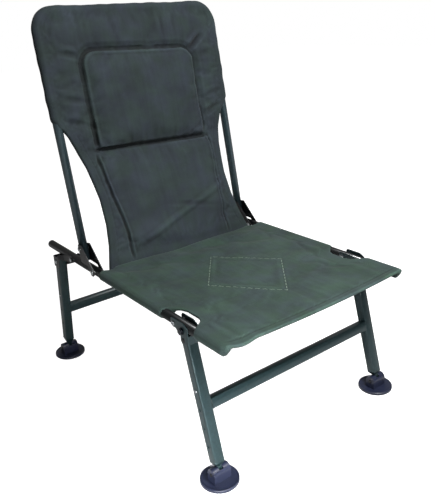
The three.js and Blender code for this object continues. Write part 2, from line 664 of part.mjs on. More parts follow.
for (const leg of LEG_SETS) {
  const place = (geometry) => geometry.rotateX(leg.lean).translate(0, leg.y, PIVOT_Z);
  const set = (geometry) => place(geometry.translate(leg.x, 0, 0));
  const reach = (PIVOT_Z - ANKLE_Z) / Math.cos(leg.lean);
  const tubeEnd = reach - leg.shank;
  const topHole = -leg.button;

  const heightHoles = Array.from({ length: leg.holes }, (_, i) => (
    rod(BUTTON_RADIUS + GAP, 0, LEG_WIDTH, 0, topHole - i * leg.pitch)
  ));
  addPair(`${leg.name}_leg_tube`, set(cut(
    prism(squareTube(LEG_WIDTH, LEG_WALL, LEG_CORNER), "z", -tubeEnd, LEG_HEAD),
    rod(PIVOT_RADIUS + GAP, -LEG_WIDTH, LEG_WIDTH, 0, 0),
    ...heightHoles,
  )), FINISH.leg);

  const barEnd = leg.x - HALF_LEG - GAP;
  add(`${leg.name}_crossbar`, join(place(
    prism(squareTube(CROSSBAR_WIDTH, LEG_WALL, LEG_CORNER), "x", -barEnd, barEnd)
      .translate(0, 0, -leg.crossbar),
  )), FINISH.leg);

  addPair(`${leg.name}_leg_pivot`, set(rivet({
    radius: PIVOT_RADIUS,
    head: RIVET_HEAD,
    height: leg.pivotHead,
    from: -CHEEK_OUT,
    to: CHEEK_OUT,
    y: 0,
    z: 0,
  })), leg.capped ? FINISH.silver : FINISH.black);

  if (leg.capped) {
    const capSeat = LEG_HEAD + GAP;
    addPair(`${leg.name}_leg_cap`, set(join(
      taper(LEG_WIDTH, LEG_WIDTH - 2 * LEG_CAP_TAPER, capSeat, capSeat + LEG_CAP_HEIGHT),
      prism(shapeOf(square(innerWidth, INNER_CORNER)), "z", capSeat - LEG_CAP_PLUG, capSeat + PLATE / 2),
    )), FINISH.black);
  }

  addPair(`${leg.name}_inner_leg`, set(cut(
    prism(squareTube(innerWidth, LEG_WALL, INNER_CORNER), "z", -tubeEnd, topHole + INNER_ABOVE_BUTTON),
    rod(BUTTON_RADIUS + GAP, 0, LEG_WIDTH, 0, topHole),
  )), FINISH.innerLeg);

  const flangeTop = -tubeEnd - GAP;
  const flangeFoot = -reach + PLUG_SHOULDER;
  const tongue = rounded([
    [-TONGUE_RADIUS, flangeTop, 0],
    [-TONGUE_RADIUS, -reach - TONGUE_RADIUS, TONGUE_RADIUS - GAP],
    [TONGUE_RADIUS, -reach - TONGUE_RADIUS, TONGUE_RADIUS - GAP],
    [TONGUE_RADIUS, flangeTop, 0],
  ]);
  const spigot = shapeOf(square(innerVoid - 2 * GAP, INNER_CORNER));
  addPair(`${leg.name}_leg_plug`, set(cut(
    join(
      prism(spigot, "z", flangeTop - PLATE, flangeTop + PLUG_SPIGOT),
      taper(PLUG_FOOT, LEG_WIDTH, flangeFoot, flangeTop),
      prism(shapeOf(tongue), "x", -TONGUE_THICK / 2, TONGUE_THICK / 2),
    ),
    rod(PIN_RADIUS + GAP, -LEG_WIDTH, LEG_WIDTH, 0, -reach),
  )), FINISH.leg);

  const flangeFace = innerVoid / 2 - GAP;
  const flangeBack = flangeFace - BUTTON_FLANGE;
  const buttonEnd = HALF_LEG + BUTTON_PROUD;
  addPair(`${leg.name}_button`, set(turned([
    [0, flangeBack],
    [BUTTON_FLANGE_RADIUS, flangeBack],
    [BUTTON_FLANGE_RADIUS, flangeFace],
    [BUTTON_RADIUS, flangeFace],
    [BUTTON_RADIUS, buttonEnd - BUTTON_DOME],
    [BUTTON_RADIUS - BUTTON_DOME, buttonEnd],
    [0, buttonEnd],
  ]).translate(0, 0, topHole)), FINISH.silver);

  const strip = springShape(flangeBack - GAP, -flangeFace, topHole + SPRING_RISE, topHole - SPRING_FALL);
  addPair(`${leg.name}_leaf_spring`, set(
    new THREE.ExtrudeGeometry(strip, { depth: SPRING_WIDTH, bevelEnabled: false })
      .rotateX(Math.PI / 2).translate(0, SPRING_WIDTH / 2, 0),
  ), FINISH.spring);

  const ankleY = leg.y + reach * Math.sin(leg.lean);
  const atAnkle = (geometry) => geometry.translate(leg.x, ankleY, 0);
  const disc = new THREE.LatheGeometry([
    [0, 0],
    [FOOT_RADIUS - FOOT_EDGE, 0],
    [FOOT_RADIUS, FOOT_EDGE],
    [FOOT_RADIUS, FOOT_RIM - FOOT_EDGE],
    [FOOT_RADIUS - FOOT_EDGE, FOOT_RIM],
    [FOOT_RADIUS - FOOT_RIM_WIDTH, FOOT_RIM],
    [FOOT_RADIUS - FOOT_RIM_WIDTH - FOOT_EDGE, FOOT_THICK],
    [0, FOOT_THICK],
  ].map(([radius, up]) => new THREE.Vector2(radius, up)), FOOT_SIDES).rotateX(Math.PI / 2);
  const hubEnd = HUB_LENGTH / 2;
  addPair(`${leg.name}_foot`, atAnkle(cut(
    join(
      disc,
      box(-hubEnd, hubEnd, -HUB_RADIUS, HUB_RADIUS, FOOT_THICK / 2, ANKLE_Z),
      rod(HUB_RADIUS, -hubEnd, hubEnd, 0, ANKLE_Z, TUBE_SIDES),
    ),
    tonguePocket.clone().rotateX(leg.lean).translate(0, 0, ANKLE_Z),
    rod(PIN_RADIUS + GAP, -hubEnd - OVERRUN, hubEnd + OVERRUN, 0, ANKLE_Z),
  )), FINISH.plastic);

  addPair(`${leg.name}_foot_pin`, atAnkle(rivet({
    radius: PIN_RADIUS,
    head: PIN_HEAD,
    height: PIN_HEAD_HEIGHT,
    from: -hubEnd,
    to: hubEnd,
    y: 0,
    z: ANKLE_Z,
  })), FINISH.black);
}

// Back frame: tube, brackets and the rivets that hold them together

const onBack = (geometry) => geometry.rotateX(BACK_LEAN).translate(0, BACK_PIVOT_Y, RAIL_Z);

// Path through given points that takes one step per point, however far apart they are
class PointPath extends THREE.Curve {
  constructor(points) {
    super();
    this.points = points;
  }

  getPoint(t, target = new THREE.Vector3()) {
    const last = this.points.length - 1;
    const place = THREE.MathUtils.clamp(t, 0, 1) * last;
    const i = Math.min(Math.floor(place), last - 1);
    return target.lerpVectors(this.points[i], this.points[i + 1], place - i);
  }

  getUtoTmapping(u) {
    return u;
  }
}

// Inverted U at the back tubes' axes, from a height on the left over the top to the right
function backPath(from) {
  const side = RAIL_X - BACK_BEND;
  const bendUp = BACK_TOP - BACK_BEND;
  const bend = Array.from({ length: BEND_STEPS + 1 }, (_, i) => {
    const angle = (i / BEND_STEPS) * (Math.PI / 2);
    return [side + Math.cos(angle) * BACK_BEND, bendUp + Math.sin(angle) * BACK_BEND];
  });
  const right = [[RAIL_X, from], ...bend];
  const left = right.map(([x, up]) => [-x, up]);
  const points = [...left, ...right.reverse()];
  return new PointPath(points.map(([x, up]) => new THREE.Vector3(x, BACK_ARM, up)));
}

function alongBack(shape, from) {
  const extrudePath = backPath(from);
  return new THREE.ExtrudeGeometry(shape, { steps: extrudePath.points.length - 1, extrudePath });
}

const tubeRise = Math.sin(-BACK_LEAN) * (BACK_ARM + TUBE_RADIUS);
const tubeFoot = (RAIL_RADIUS + GAP + tubeRise) / Math.cos(BACK_LEAN);
const tubeShape = shapeOf(circle(TUBE_RADIUS, TUBE_SIDES), circle(TUBE_RADIUS - RAIL_WALL, TUBE_SIDES));
const acrossBack = [-1, 1].map((side) => (
  rod(BOLT_RADIUS + GAP, -RAIL_RADIUS * 2, RAIL_RADIUS * 2, BACK_ARM, BACK_RIVET_UP)
    .translate(side * RAIL_X, 0, 0)
));
add("back_tube", onBack(cut(alongBack(tubeShape, tubeFoot), ...acrossBack)), FINISH.rail);

// U channel: half round behind the tube, with its cheeks forward to the pivot
function channel(radius, front) {
  const arc = circle(radius, TUBE_SIDES).slice(0, TUBE_SIDES / 2 + 1);
  const bend = arc.map((point) => new THREE.Vector2(point.x + RAIL_X, point.y + BACK_ARM));
  const [right, left] = [1, -1].map((side) => new THREE.Vector2(RAIL_X + side * radius, front));
  return [right, ...bend, left];
}

const channelFront = -BACK_LOBE - OVERRUN;
const backRear = BACK_ARM + backCheekOut;
const bracketSide = rounded([
  [-BACK_LOBE, -BACK_LOBE, BACK_LOBE * LOBE_SHARE],
  [BACK_LOBE, -BACK_LOBE, BACK_LOBE * LOBE_SHARE],
  [BACK_LOBE + PLATE, BACK_LOBE + PLATE, WIDE_CORNER],
  [backRear + OVERRUN, tubeFoot + PLATE, 0],
  [backRear + OVERRUN, BACK_BRACKET_TOP, 0],
  [BACK_ARM - TUBE_RADIUS - WIDE_CORNER, BACK_BRACKET_TOP, WIDE_CORNER],
  [-BACK_LOBE, SMALL_CORNER, WIDE_CORNER],
]);
const throughBack = (radius, y, z) => (
  rod(radius + GAP, RAIL_X - backCheekOut - OVERRUN, RAIL_X + backCheekOut + OVERRUN, y, z)
);
const channelOutside = shapeOf(channel(backCheekOut, channelFront));
addPair("back_bracket", onBack(cut(
  common(
    prism(channelOutside, "z", -BACK_LOBE - OVERRUN, BACK_BRACKET_TOP + OVERRUN),
    prism(shapeOf(bracketSide), "x", RAIL_X - backCheekOut - OVERRUN, RAIL_X + backCheekOut + OVERRUN),
  ),
  prism(shapeOf(channel(backCheekIn, channelFront - OVERRUN)), "z", -BACK_LOBE - 2 * OVERRUN,
    BACK_BRACKET_TOP + 2 * OVERRUN),
  throughBack(PIVOT_RADIUS, 0, 0),
  throughBack(BOLT_RADIUS, BACK_ARM, BACK_RIVET_UP),
)), FINISH.black);

addPair("back_bracket_rivet", onBack(rivet({
  radius: BOLT_RADIUS,
  head: RIVET_HEAD,
  height: RIVET_HEAD_HEIGHT,
  from: RAIL_X - backCheekOut,
  to: RAIL_X + backCheekOut,
  y: BACK_ARM,
  z: BACK_RIVET_UP,
})), FINISH.silver);

// Soft pieces: closed slabs over a grid of points, joined round the rim

// Rows run away from the first side, columns run towards +X, and front faces outward
function slab(front, rear) {
  const rows = front.length;
  const columns = front[0].length;
  const at = (i, j) => i * columns + j;
  const size = rows * columns;
  const faces = [];
  for (let i = 0; i < rows - 1; i += 1) {
    for (let j = 0; j < columns - 1; j += 1) {
      const [a, b, c, d] = [at(i, j), at(i, j + 1), at(i + 1, j + 1), at(i + 1, j)];
      faces.push(a, b, c, a, c, d);
      faces.push(a + size, c + size, b + size, a + size, d + size, c + size);
    }
  }
  const rim = [];
  for (let j = 0; j < columns - 1; j += 1) rim.push([at(0, j), at(0, j + 1)]);
  for (let i = 0; i < rows - 1; i += 1) rim.push([at(i, columns - 1), at(i + 1, columns - 1)]);
  for (let j = columns - 1; j > 0; j -= 1) rim.push([at(rows - 1, j), at(rows - 1, j - 1)]);
  for (let i = rows - 1; i > 0; i -= 1) rim.push([at(i, 0), at(i - 1, 0)]);
  rim.forEach(([p, q]) => faces.push(q, p, p + size, q, p + size, q + size));
  const points = [...front.flat(), ...rear.flat()];
  const geometry = new THREE.BufferGeometry().setFromPoints(points);
  geometry.setIndex(faces);
  return geometry;
}

function spread(from, to, count) {
  return Array.from({ length: count }, (_, i) => from + ((to - from) * i) / count);
}

function tableAt(table, place) {
  const i = table.findIndex(([key]) => key > place);
  if (i === -1) return table[table.length - 1][1];
  if (i === 0) return table[0][1];
  const [[k0, v0], [k1, v1]] = [table[i - 1], table[i]];
  return v0 + ((v1 - v0) * (place - k0)) / (k1 - k0);
}

// 0 outside an edge, 1 once a piece is clear of it by the edge's width
function ramp(distance) {
  return THREE.MathUtils.smoothstep(distance, 0, PAD_EDGE);
}

function panelHalf(up) {
  if (up < SLEEVE_END) return tableAt(WAIST, up);
  const bendUp = BACK_TOP - COVER_RADIUS;
  if (up < bendUp) return RAIL_X;
  return RAIL_X - COVER_RADIUS + Math.sqrt(Math.max(0, COVER_RADIUS ** 2 - (up - bendUp) ** 2));
}

// How far the back's front surface is in front of the tubes' plane
function panelFront(x, up) {
  const across = Math.abs(x) / PAD_HALF;
  const crown = Math.max(0, 1 - across * across);
  const base = PANEL_FRONT + Math.max(0, PANEL_BEND_UP - up) * LOWER_SLOPE;
  const side = ramp(PAD_HALF + PAD_EDGE - Math.abs(x));
  const seam = SEAM_DEPTH * Math.max(0, 1 - Math.abs(up - SEAM_UP) / SEAM_HALF);
  const headPad = side * ramp(up - SEAM_UP) * ramp(HEAD_PAD_TOP - up);
  const headShare = THREE.MathUtils.clamp((up - SEAM_UP) / (HEAD_PAD_TOP - SEAM_UP), 0, 1);
  const headCrown = crown * Math.sin(Math.PI * headShare);
  const fade = THREE.MathUtils.smoothstep(up, SKIRT_FOOT, SKIRT_FOOT + SKIRT_FADE);
  const lumbar = side * ramp(SEAM_UP - up) * fade * LUMBAR_SHARE;
  const crease = CREASE * lumbar * Math.sin(((up + x) / CREASE_WAVE) * Math.PI * 2);
  const pads = headPad * (PAD_RISE + PAD_CROWN * headCrown) + lumbar * (PAD_RISE + PAD_CROWN * crown);
  return base + pads + crease - seam * side;
}

const PAD_COLUMNS = [0, 0.3, 0.6, 0.85, 1];

function panelColumns(half) {
  const edge = PAD_HALF + PAD_EDGE;
  const right = [...PAD_COLUMNS.map((share) => share * PAD_HALF), edge, (edge + half) / 2, half];
  return [...right.slice(1).map((x) => -x).reverse(), ...right];
}

function backSlab(rows) {
  const grid = (place) => rows.map((up) => {
    const columns = panelColumns(panelHalf(up));
    return columns.map((x, j) => {
      const drawn = j === 0 || j === columns.length - 1 ? PANEL_EDGE : 0;
      return new THREE.Vector3(x, BACK_ARM - place(x, up, drawn), up);
    });
  });
  const rearOf = (x, up) => PANEL_FRONT + Math.max(0, PANEL_BEND_UP - up) * LOWER_SLOPE - PANEL_THICK;
  return slab(
    grid((x, up, drawn) => panelFront(x, up) - drawn),
    grid((x, up, drawn) => rearOf(x, up) + drawn),
  );
}

const coverRows = [
  ...spread(SPLIT_UP + GAP, SEAM_UP - SEAM_HALF, 4),
  SEAM_UP - SEAM_HALF,
  SEAM_UP,
  SEAM_UP + SEAM_HALF,
  SEAM_UP + SEAM_HALF + PAD_EDGE,
  (SLEEVE_END + SEAM_UP) / 2,
  SLEEVE_END - SEAM_HALF,
  ...spread(SLEEVE_END, HEAD_PAD_TOP - PAD_EDGE, 4),
  HEAD_PAD_TOP - PAD_EDGE,
  HEAD_PAD_TOP,
  ...spread(BACK_TOP - COVER_RADIUS, BACK_TOP - PANEL_EDGE, 4),
  BACK_TOP - PANEL_EDGE,
];
const sleeve = alongBack(shapeOf(circle(SLEEVE_RADIUS, SLEEVE_SIDES)), SLEEVE_END);
const boreShape = shapeOf(circle(TUBE_RADIUS + CLOTH_PLAY, BORE_SIDES));
const sleeveBore = alongBack(boreShape, SLEEVE_END - 2 * SEAM_HALF);
add("back_cover", onBack(cut(join(backSlab(coverRows), sleeve), sleeveBore)), FINISH.backCloth);
const skirtRows = [...spread(SKIRT_FOOT, SPLIT_UP, 6), SPLIT_UP];
add("back_skirt", onBack(join(backSlab(skirtRows))), FINISH.backCloth);

// Seat cover: a sagging slab with a sleeve round each rail, cut away at the front brackets

function seatTop(x, y) {
  const sag = SEAT_SAG * (1 - (x / RAIL_X) ** 2);
  const along = (y - SEAT_FRONT) / (SEAT_REAR - SEAT_FRONT);
  const fold = SEAT_FOLD * along * Math.sin(((y + x / 2) / SEAT_FOLD_WAVE) * Math.PI * 2);
  return RAIL_Z + SEAT_SLEEVE - SEAT_DROP - sag + fold * (1 - (x / RAIL_X) ** 4);
}

const SEAT_COLUMNS = [0, 0.16, 0.33, 0.5, 0.67, 0.83, 0.94, 1];
const SEAT_ROWS = 18;
const seatX = [...SEAT_COLUMNS.slice(1).map((share) => -share).reverse(), ...SEAT_COLUMNS]
  .map((share) => share * RAIL_X);
const seatGrid = (drop) => Array.from({ length: SEAT_ROWS + 1 }, (_, i) => seatX.map((x) => {
  const rear = Math.abs(x) < SEAT_TAIL_HALF ? SEAT_TAIL : SEAT_REAR;
  const y = SEAT_FRONT + ((rear - SEAT_FRONT) * i) / SEAT_ROWS;
  return new THREE.Vector3(x, y, seatTop(x, y) - drop);
}));
// A sleeve narrows in front of its rail's end while its top stays level
const tipLength = SEAT_TIP_START - SEAT_FRONT;
const tipSlope = (SEAT_SLEEVE - SEAT_TIP) / tipLength;
const sleeveTip = new THREE.CylinderGeometry(SEAT_SLEEVE, SEAT_TIP, tipLength, TUBE_SIDES)
  .translate(0, -tipLength / 2, 0)
  .applyMatrix4(new THREE.Matrix4().makeShear(0, 0, 0, -tipSlope, 0, 0))
  .translate(0, SEAT_TIP_START, 0);
const seatSleeve = join(
  prism(shapeOf(circle(SEAT_SLEEVE, TUBE_SIDES)), "y", SEAT_TIP_START, SEAT_REAR),
  sleeveTip,
);
const seatSleeves = [-1, 1].map((side) => seatSleeve.clone().translate(side * RAIL_X, 0, RAIL_Z));
const railBores = [-1, 1].map((side) => (
  prism(shapeOf(circle(RAIL_RADIUS + CLOTH_PLAY, BORE_SIDES)), "y", RAIL_FRONT - CLOTH_PLAY,
    SEAT_TAIL + OVERRUN).translate(side * RAIL_X, 0, RAIL_Z)
));
const mouth = RAIL_X + SEAT_SLEEVE + OVERRUN;
const notchOutline = [
  [mouth, NOTCH_REAR, 0],
  [NOTCH_MOUTH, NOTCH_REAR, NOTCH_ROUND / 2],
  [NOTCH_APEX, NOTCH_REAR - NOTCH_BACK, NOTCH_ROUND],
  [NOTCH_APEX, NOTCH_FRONT + NOTCH_BACK, NOTCH_ROUND],
  [NOTCH_MOUTH, NOTCH_FRONT, NOTCH_ROUND / 2],
  [mouth, NOTCH_FRONT, 0],
];
const notches = [-1, 1].map((side) => (
  prism(shapeOf(rounded(notchOutline.map(([x, y, radius]) => [x * side, y, radius]))), "z",
    RAIL_Z - SEAT_SLEEVE - OVERRUN, RAIL_Z + SEAT_SLEEVE + OVERRUN)
));

// Stitched diamond: a groove along each side of it
const diamond = [[DIAMOND_X, 0], [0, DIAMOND_LENGTH], [-DIAMOND_X, 0], [0, -DIAMOND_LENGTH]]
  .map(([x, y]) => new THREE.Vector3(x, y + DIAMOND_Y, seatTop(x, y + DIAMOND_Y)));
const grooves = diamond.map((start, i) => {
  const end = diamond[(i + 1) % diamond.length];
  const run = end.clone().sub(start);
  const wedge = new THREE.CylinderGeometry(STITCH_GROOVE, STITCH_GROOVE, run.length(), 4);
  wedge.applyQuaternion(new THREE.Quaternion().setFromUnitVectors(Y, run.normalize()));
  const middle = start.clone().add(end).divideScalar(2);
  return wedge.translate(middle.x, middle.y, middle.z + STITCH_GROOVE * GROOVE_LIFT_SHARE);
});
add("seat_cover", cut(
  join(slab(seatGrid(0), seatGrid(SEAT_THICK)), ...seatSleeves),
  ...railBores,
  ...notches,
  ...grooves,
), FINISH.seatCloth);

export default group;
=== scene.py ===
"""Folding fishing chair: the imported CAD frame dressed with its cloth, paint, plastic and studio."""

import math

import bmesh
import bpy
from mathutils import Matrix, Vector, noise


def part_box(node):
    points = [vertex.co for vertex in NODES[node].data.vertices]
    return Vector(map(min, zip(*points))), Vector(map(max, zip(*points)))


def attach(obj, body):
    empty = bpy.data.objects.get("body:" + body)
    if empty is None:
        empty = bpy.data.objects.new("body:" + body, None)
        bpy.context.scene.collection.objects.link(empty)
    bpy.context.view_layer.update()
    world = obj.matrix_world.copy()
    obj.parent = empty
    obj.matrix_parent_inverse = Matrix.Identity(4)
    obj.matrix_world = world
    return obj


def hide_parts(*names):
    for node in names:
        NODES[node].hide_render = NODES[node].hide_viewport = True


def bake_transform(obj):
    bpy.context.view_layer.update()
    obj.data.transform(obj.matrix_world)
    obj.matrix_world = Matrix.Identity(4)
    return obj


bl_info = {
    "name": "Folding Fishing Chair",
    "version": (1, 0, 0),
    "blender": (4, 5, 0),
    "location": "View3D > Sidebar > Chair",
    "description": "Dresses the folding chair's frame with cloth, painted steel and moulded feet",
    "category": "Object",
}

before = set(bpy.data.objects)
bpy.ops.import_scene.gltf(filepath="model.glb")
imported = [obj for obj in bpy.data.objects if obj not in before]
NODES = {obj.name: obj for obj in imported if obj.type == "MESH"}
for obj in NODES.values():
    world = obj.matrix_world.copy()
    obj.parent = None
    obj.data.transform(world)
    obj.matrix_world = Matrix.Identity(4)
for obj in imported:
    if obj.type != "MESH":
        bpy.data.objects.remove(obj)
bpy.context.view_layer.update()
SIDES = ("left", "right")
MM = 0.001


# Colours and sizes

def linear(code):
    """Linear colour of an sRGB hex value."""
    values = [int(code[i:i + 2], 16) / 255 for i in (1, 3, 5)]
    return [v / 12.92 if v <= 0.04045 else ((v + 0.055) / 1.055) ** 2.4 for v in values]


def colour(name, code, description):
    return bpy.props.FloatVectorProperty(
        name=name, description=description, default=linear(code), subtype="COLOR", min=0, max=1
    )


def length(name, millimetres, description):
    return bpy.props.FloatProperty(
        name=name, description=description, default=millimetres * MM, unit="LENGTH", min=0
    )


class ChairColours(bpy.types.PropertyGroup):
    tube: colour("Tube paint", "#35454b", "Gloss powder coat on the bent back tube")
    # Painted shade: the rails carry the same paint as the back tube, and this rail colour is a darker copy of
    # it for the shade they lie in.
    rail: colour("Rail paint in painted shade", "#141617", "Gloss powder coat on the side rails")
    leg: colour("Leg paint", "#223437", "Hammered powder coat on the square legs")
    black: colour("Black steel", "#0d0e10", "Black coating on the brackets")
    zinc: colour("Zinc", "#c3c7ca", "Bright plating on the rivets and buttons")
    bolt: colour("Dark bolt", "#3a3e44", "Blued steel of the bracket bolts")
    plastic: colour("Plastic", "#1b1f30", "Moulded feet and caps")
    back_cloth: colour("Back cloth", "#262f32", "Polyester of the back")
    seat_cloth: colour("Seat cloth", "#2f3f3a", "Polyester of the seat")
    thread: colour("Thread", "#8ea08f", "Sewing thread of the seat's diamond")
    floor: colour("Floor", "#bdbdbd", "Studio floor")


class ChairSizes(bpy.types.PropertyGroup):
    bend: length("Back bend", 48, "Radius of the back tube's two bends")
    thread: length("Weave", 1.1, "Spacing of the threads that the cloth shows")
    hammer: length("Hammer", 2.6, "Size of the hammered paint's dimples")
    wrinkle: length("Wrinkle", 2.2, "Height of the cloth's soft wrinkles")
    swell: length("Swell", 8, "Most that the back's cloth moves in its simulation")
    pucker: length("Pucker", 2.5, "Most that the seat's cloth moves in its simulation")


# Materials

def add(tree, kind, settings=None, links=None):
    """Adds a node with its settings, and links its inputs from other nodes' sockets."""
    made = tree.nodes.new(kind)
    for key, value in (settings or {}).items():
        if isinstance(key, int) or key in made.inputs:
            made.inputs[key].default_value = value
        else:
            setattr(made, key, value)
    for key, socket in (links or {}).items():
        tree.links.new(socket, made.inputs[key])
    return made


def begin(name, base, roughness, metallic=0.0, **more):
    """New material with a Principled shader of its colour, and the object coordinates for its textures."""
    material = bpy.data.materials.new(name)
    material.use_nodes = True
    tree = material.node_tree
    shader = tree.nodes["Principled BSDF"]
    shader.inputs["Base Color"].default_value = (*base, 1)
    shader.inputs["Roughness"].default_value = roughness
    shader.inputs["Metallic"].default_value = metallic
    for key, value in more.items():
        shader.inputs[key.replace("_", " ")].default_value = value
    material.diffuse_color = (*base, 1)
    place = add(tree, "ShaderNodeTexCoord")
    return material, tree, shader, place.outputs["Object"]


def tones(tree, shader, base, factor, dark, light):
    """Base colour that runs between a darker and a lighter tone."""
    mix = add(tree, "ShaderNodeMix", {"data_type": "RGBA"}, {0: factor})
    mix.inputs[6].default_value = (*[c * dark for c in base], 1)
    mix.inputs[7].default_value = (*[min(1, c * light) for c in base], 1)
    tree.links.new(mix.outputs[2], shader.inputs["Base Color"])
    return mix


def bump(tree, shader, height, distance, strength=1.0, below=None):
    """Bump from a height, on top of an earlier bump where one is given."""
    links = {"Height": height}
    if below:
        links["Normal"] = below.outputs["Normal"]
    made = add(tree, "ShaderNodeBump", {"Distance": distance, "Strength": strength}, links)
    tree.links.new(made.outputs["Normal"], shader.inputs["Normal"])
    return made


def hammered_paint(name, base, size, roughness, depth):
    """Hammer-finish powder coat on steel: small even dimples under a gloss skin."""
    material, tree, shader, place = begin(name, base, roughness, 0.55, Coat_Weight=0.35, Coat_Roughness=0.12)
    cells = add(tree, "ShaderNodeTexVoronoi", {"Scale": 1 / size, "feature": "SMOOTH_F1"}, {"Vector": place})
    cloud = add(tree, "ShaderNodeTexNoise", {"Scale": 1 / (size * 2.2), "Detail": 6.0, "Roughness": 0.7},
                {"Vector": place})
    tones(tree, shader, base, cloud.outputs["Fac"], 0.45, 1.6)
    bump(tree, shader, cells.outputs["Distance"], depth, 0.5)
    return material


def black_coat(name, base):
    """Black electro-coat on pressed steel: semi-gloss, with a faint orange peel."""
    material, tree, shader, place = begin(name, base, 0.38, 0.2, Coat_Weight=0.2)
    peel = add(tree, "ShaderNodeTexNoise", {"Scale": 1 / (1.6 * MM), "Detail": 2.0}, {"Vector": place})
    tones(tree, shader, base, peel.outputs["Fac"], 0.8, 1.3)
    bump(tree, shader, peel.outputs["Fac"], 0.08 * MM, 0.6)
    return material


def plated_steel(name, base, roughness):
    """Zinc-plated or blued steel: turned, so fine rings and small scratches catch the light."""
    material, tree, shader, place = begin(name, base, roughness, 1.0)
    grain = add(tree, "ShaderNodeTexNoise", {"Scale": 1 / (0.9 * MM), "Detail": 4.0}, {"Vector": place})
    level = add(tree, "ShaderNodeMapRange", {"To Min": roughness * 0.8, "To Max": roughness * 1.5},
                {"Value": grain.outputs["Fac"]})
    tree.links.new(level.outputs["Result"], shader.inputs["Roughness"])
    tones(tree, shader, base, grain.outputs["Fac"], 0.85, 1.1)
    bump(tree, shader, grain.outputs["Fac"], 0.03 * MM, 0.5)
    return material


def moulded_plastic(name, base):
    """Moulded nylon: satin, with the fine spark-eroded grain of its mould."""
    material, tree, shader, place = begin(name, base, 0.34)
    grain = add(tree, "ShaderNodeTexNoise", {"Scale": 1 / (1.2 * MM), "Detail": 5.0}, {"Vector": place})
    cloud = add(tree, "ShaderNodeTexNoise", {"Scale": 1 / (35 * MM), "Detail": 2.0}, {"Vector": place})
    tones(tree, shader, base, cloud.outputs["Fac"], 0.8, 1.5)
    bump(tree, shader, grain.outputs["Fac"], 0.1 * MM, 0.5)
    return material


def woven_polyester(name, base, spacing):
    """Oxford-weave polyester: matt, with crossed threads and cloudy shade changes. Its threads are
    drawn coarse enough to show; grooves get painted shade and ridges a painted highlight from the mesh's
    curvature."""
    material, tree, shader, place = begin(name, base, 0.86, 0.0, Sheen_Weight=0.05, Sheen_Roughness=0.5)
    shader.inputs["Specular IOR Level"].default_value = 0.25
    across = add(tree, "ShaderNodeTexWave", {"Scale": 0.16 / spacing, "bands_direction": "X",
                                             "Distortion": 0.4}, {"Vector": place})
    along = add(tree, "ShaderNodeTexWave", {"Scale": 0.16 / spacing, "bands_direction": "DIAGONAL",
                                            "Distortion": 0.4}, {"Vector": place})
    weave = add(tree, "ShaderNodeMath", {"operation": "MULTIPLY"}, {0: across.outputs["Fac"],
                                                                   1: along.outputs["Fac"]})
    cloud = add(tree, "ShaderNodeTexNoise", {"Scale": 1 / (80 * MM), "Detail": 5.0, "Roughness": 0.62},
                {"Vector": place})
    shade = add(tree, "ShaderNodeMapRange", {"From Min": 0.32, "From Max": 0.68},
                {"Value": cloud.outputs["Fac"]})
    mix = tones(tree, shader, base, shade.outputs["Result"], 0.78, 1.24)
    patch = add(tree, "ShaderNodeTexNoise", {"Scale": 1 / (48 * MM), "Detail": 3.0}, {"Vector": place})
    share = add(tree, "ShaderNodeMapRange", {"From Min": 0.36, "From Max": 0.64},
                {"Value": patch.outputs["Fac"]})
    hue = add(tree, "ShaderNodeMix", {"data_type": "RGBA"}, {0: share.outputs["Result"]})
    hue.inputs[6].default_value = (1.02, 0.93, 1.12, 1)
    hue.inputs[7].default_value = (0.98, 1.08, 0.92, 1)
    dyed = add(tree, "ShaderNodeMix", {"data_type": "RGBA", "blend_type": "MULTIPLY", 0: 0.8},
               {6: mix.outputs[2], 7: hue.outputs[2]})
    # Painted shade and painted highlight: the colour is darkened in grooves and lightened on ridges,
    # following the mesh's pointiness.
    groove_shade_ridge_highlight = add(tree, "ShaderNodeMapRange",
               {"From Min": 0.44, "From Max": 0.56, "To Min": 0.35, "To Max": 1.65},
               {"Value": add(tree, "ShaderNodeNewGeometry").outputs["Pointiness"]})
    edges = add(tree, "ShaderNodeMix", {"data_type": "RGBA", "blend_type": "MULTIPLY", 0: 1.0},
                {6: dyed.outputs[2], 7: groove_shade_ridge_highlight.outputs["Result"]})
    run = add(tree, "ShaderNodeMapping", {"Scale": (1, 0.08, 0.08)}, {"Vector": place})
    yarn = add(tree, "ShaderNodeTexNoise", {"Scale": 1 / (9 * MM), "Detail": 3.0}, {"Vector": run.outputs[0]})
    streak = add(tree, "ShaderNodeMapRange",
                 {"From Min": 0.3, "From Max": 0.7, "To Min": 0.92, "To Max": 1.08},
                 {"Value": yarn.outputs["Fac"]})
    lines = add(tree, "ShaderNodeMix", {"data_type": "RGBA", "blend_type": "MULTIPLY", 0: 1.0},
                {6: edges.outputs[2], 7: streak.outputs["Result"]})
    dots = add(tree, "ShaderNodeMix", {"data_type": "RGBA", "blend_type": "MULTIPLY", 0: 0.25},
               {6: lines.outputs[2], 7: weave.outputs[0]})
    tree.links.new(dots.outputs[2], shader.inputs["Base Color"])
    crumple = add(tree, "ShaderNodeTexNoise", {"Scale": 1 / (28 * MM), "Detail": 5.0, "Roughness": 0.55},
                  {"Vector": place})
    soft = bump(tree, shader, crumple.outputs["Fac"], 1.6 * MM, 0.5)
    bump(tree, shader, weave.outputs[0], 0.15 * MM, 0.5, soft)
    return material, tree, shader, dots


# Shapes of the cloth, in the back's own frame: x across, d in front of the tubes' plane, up the back

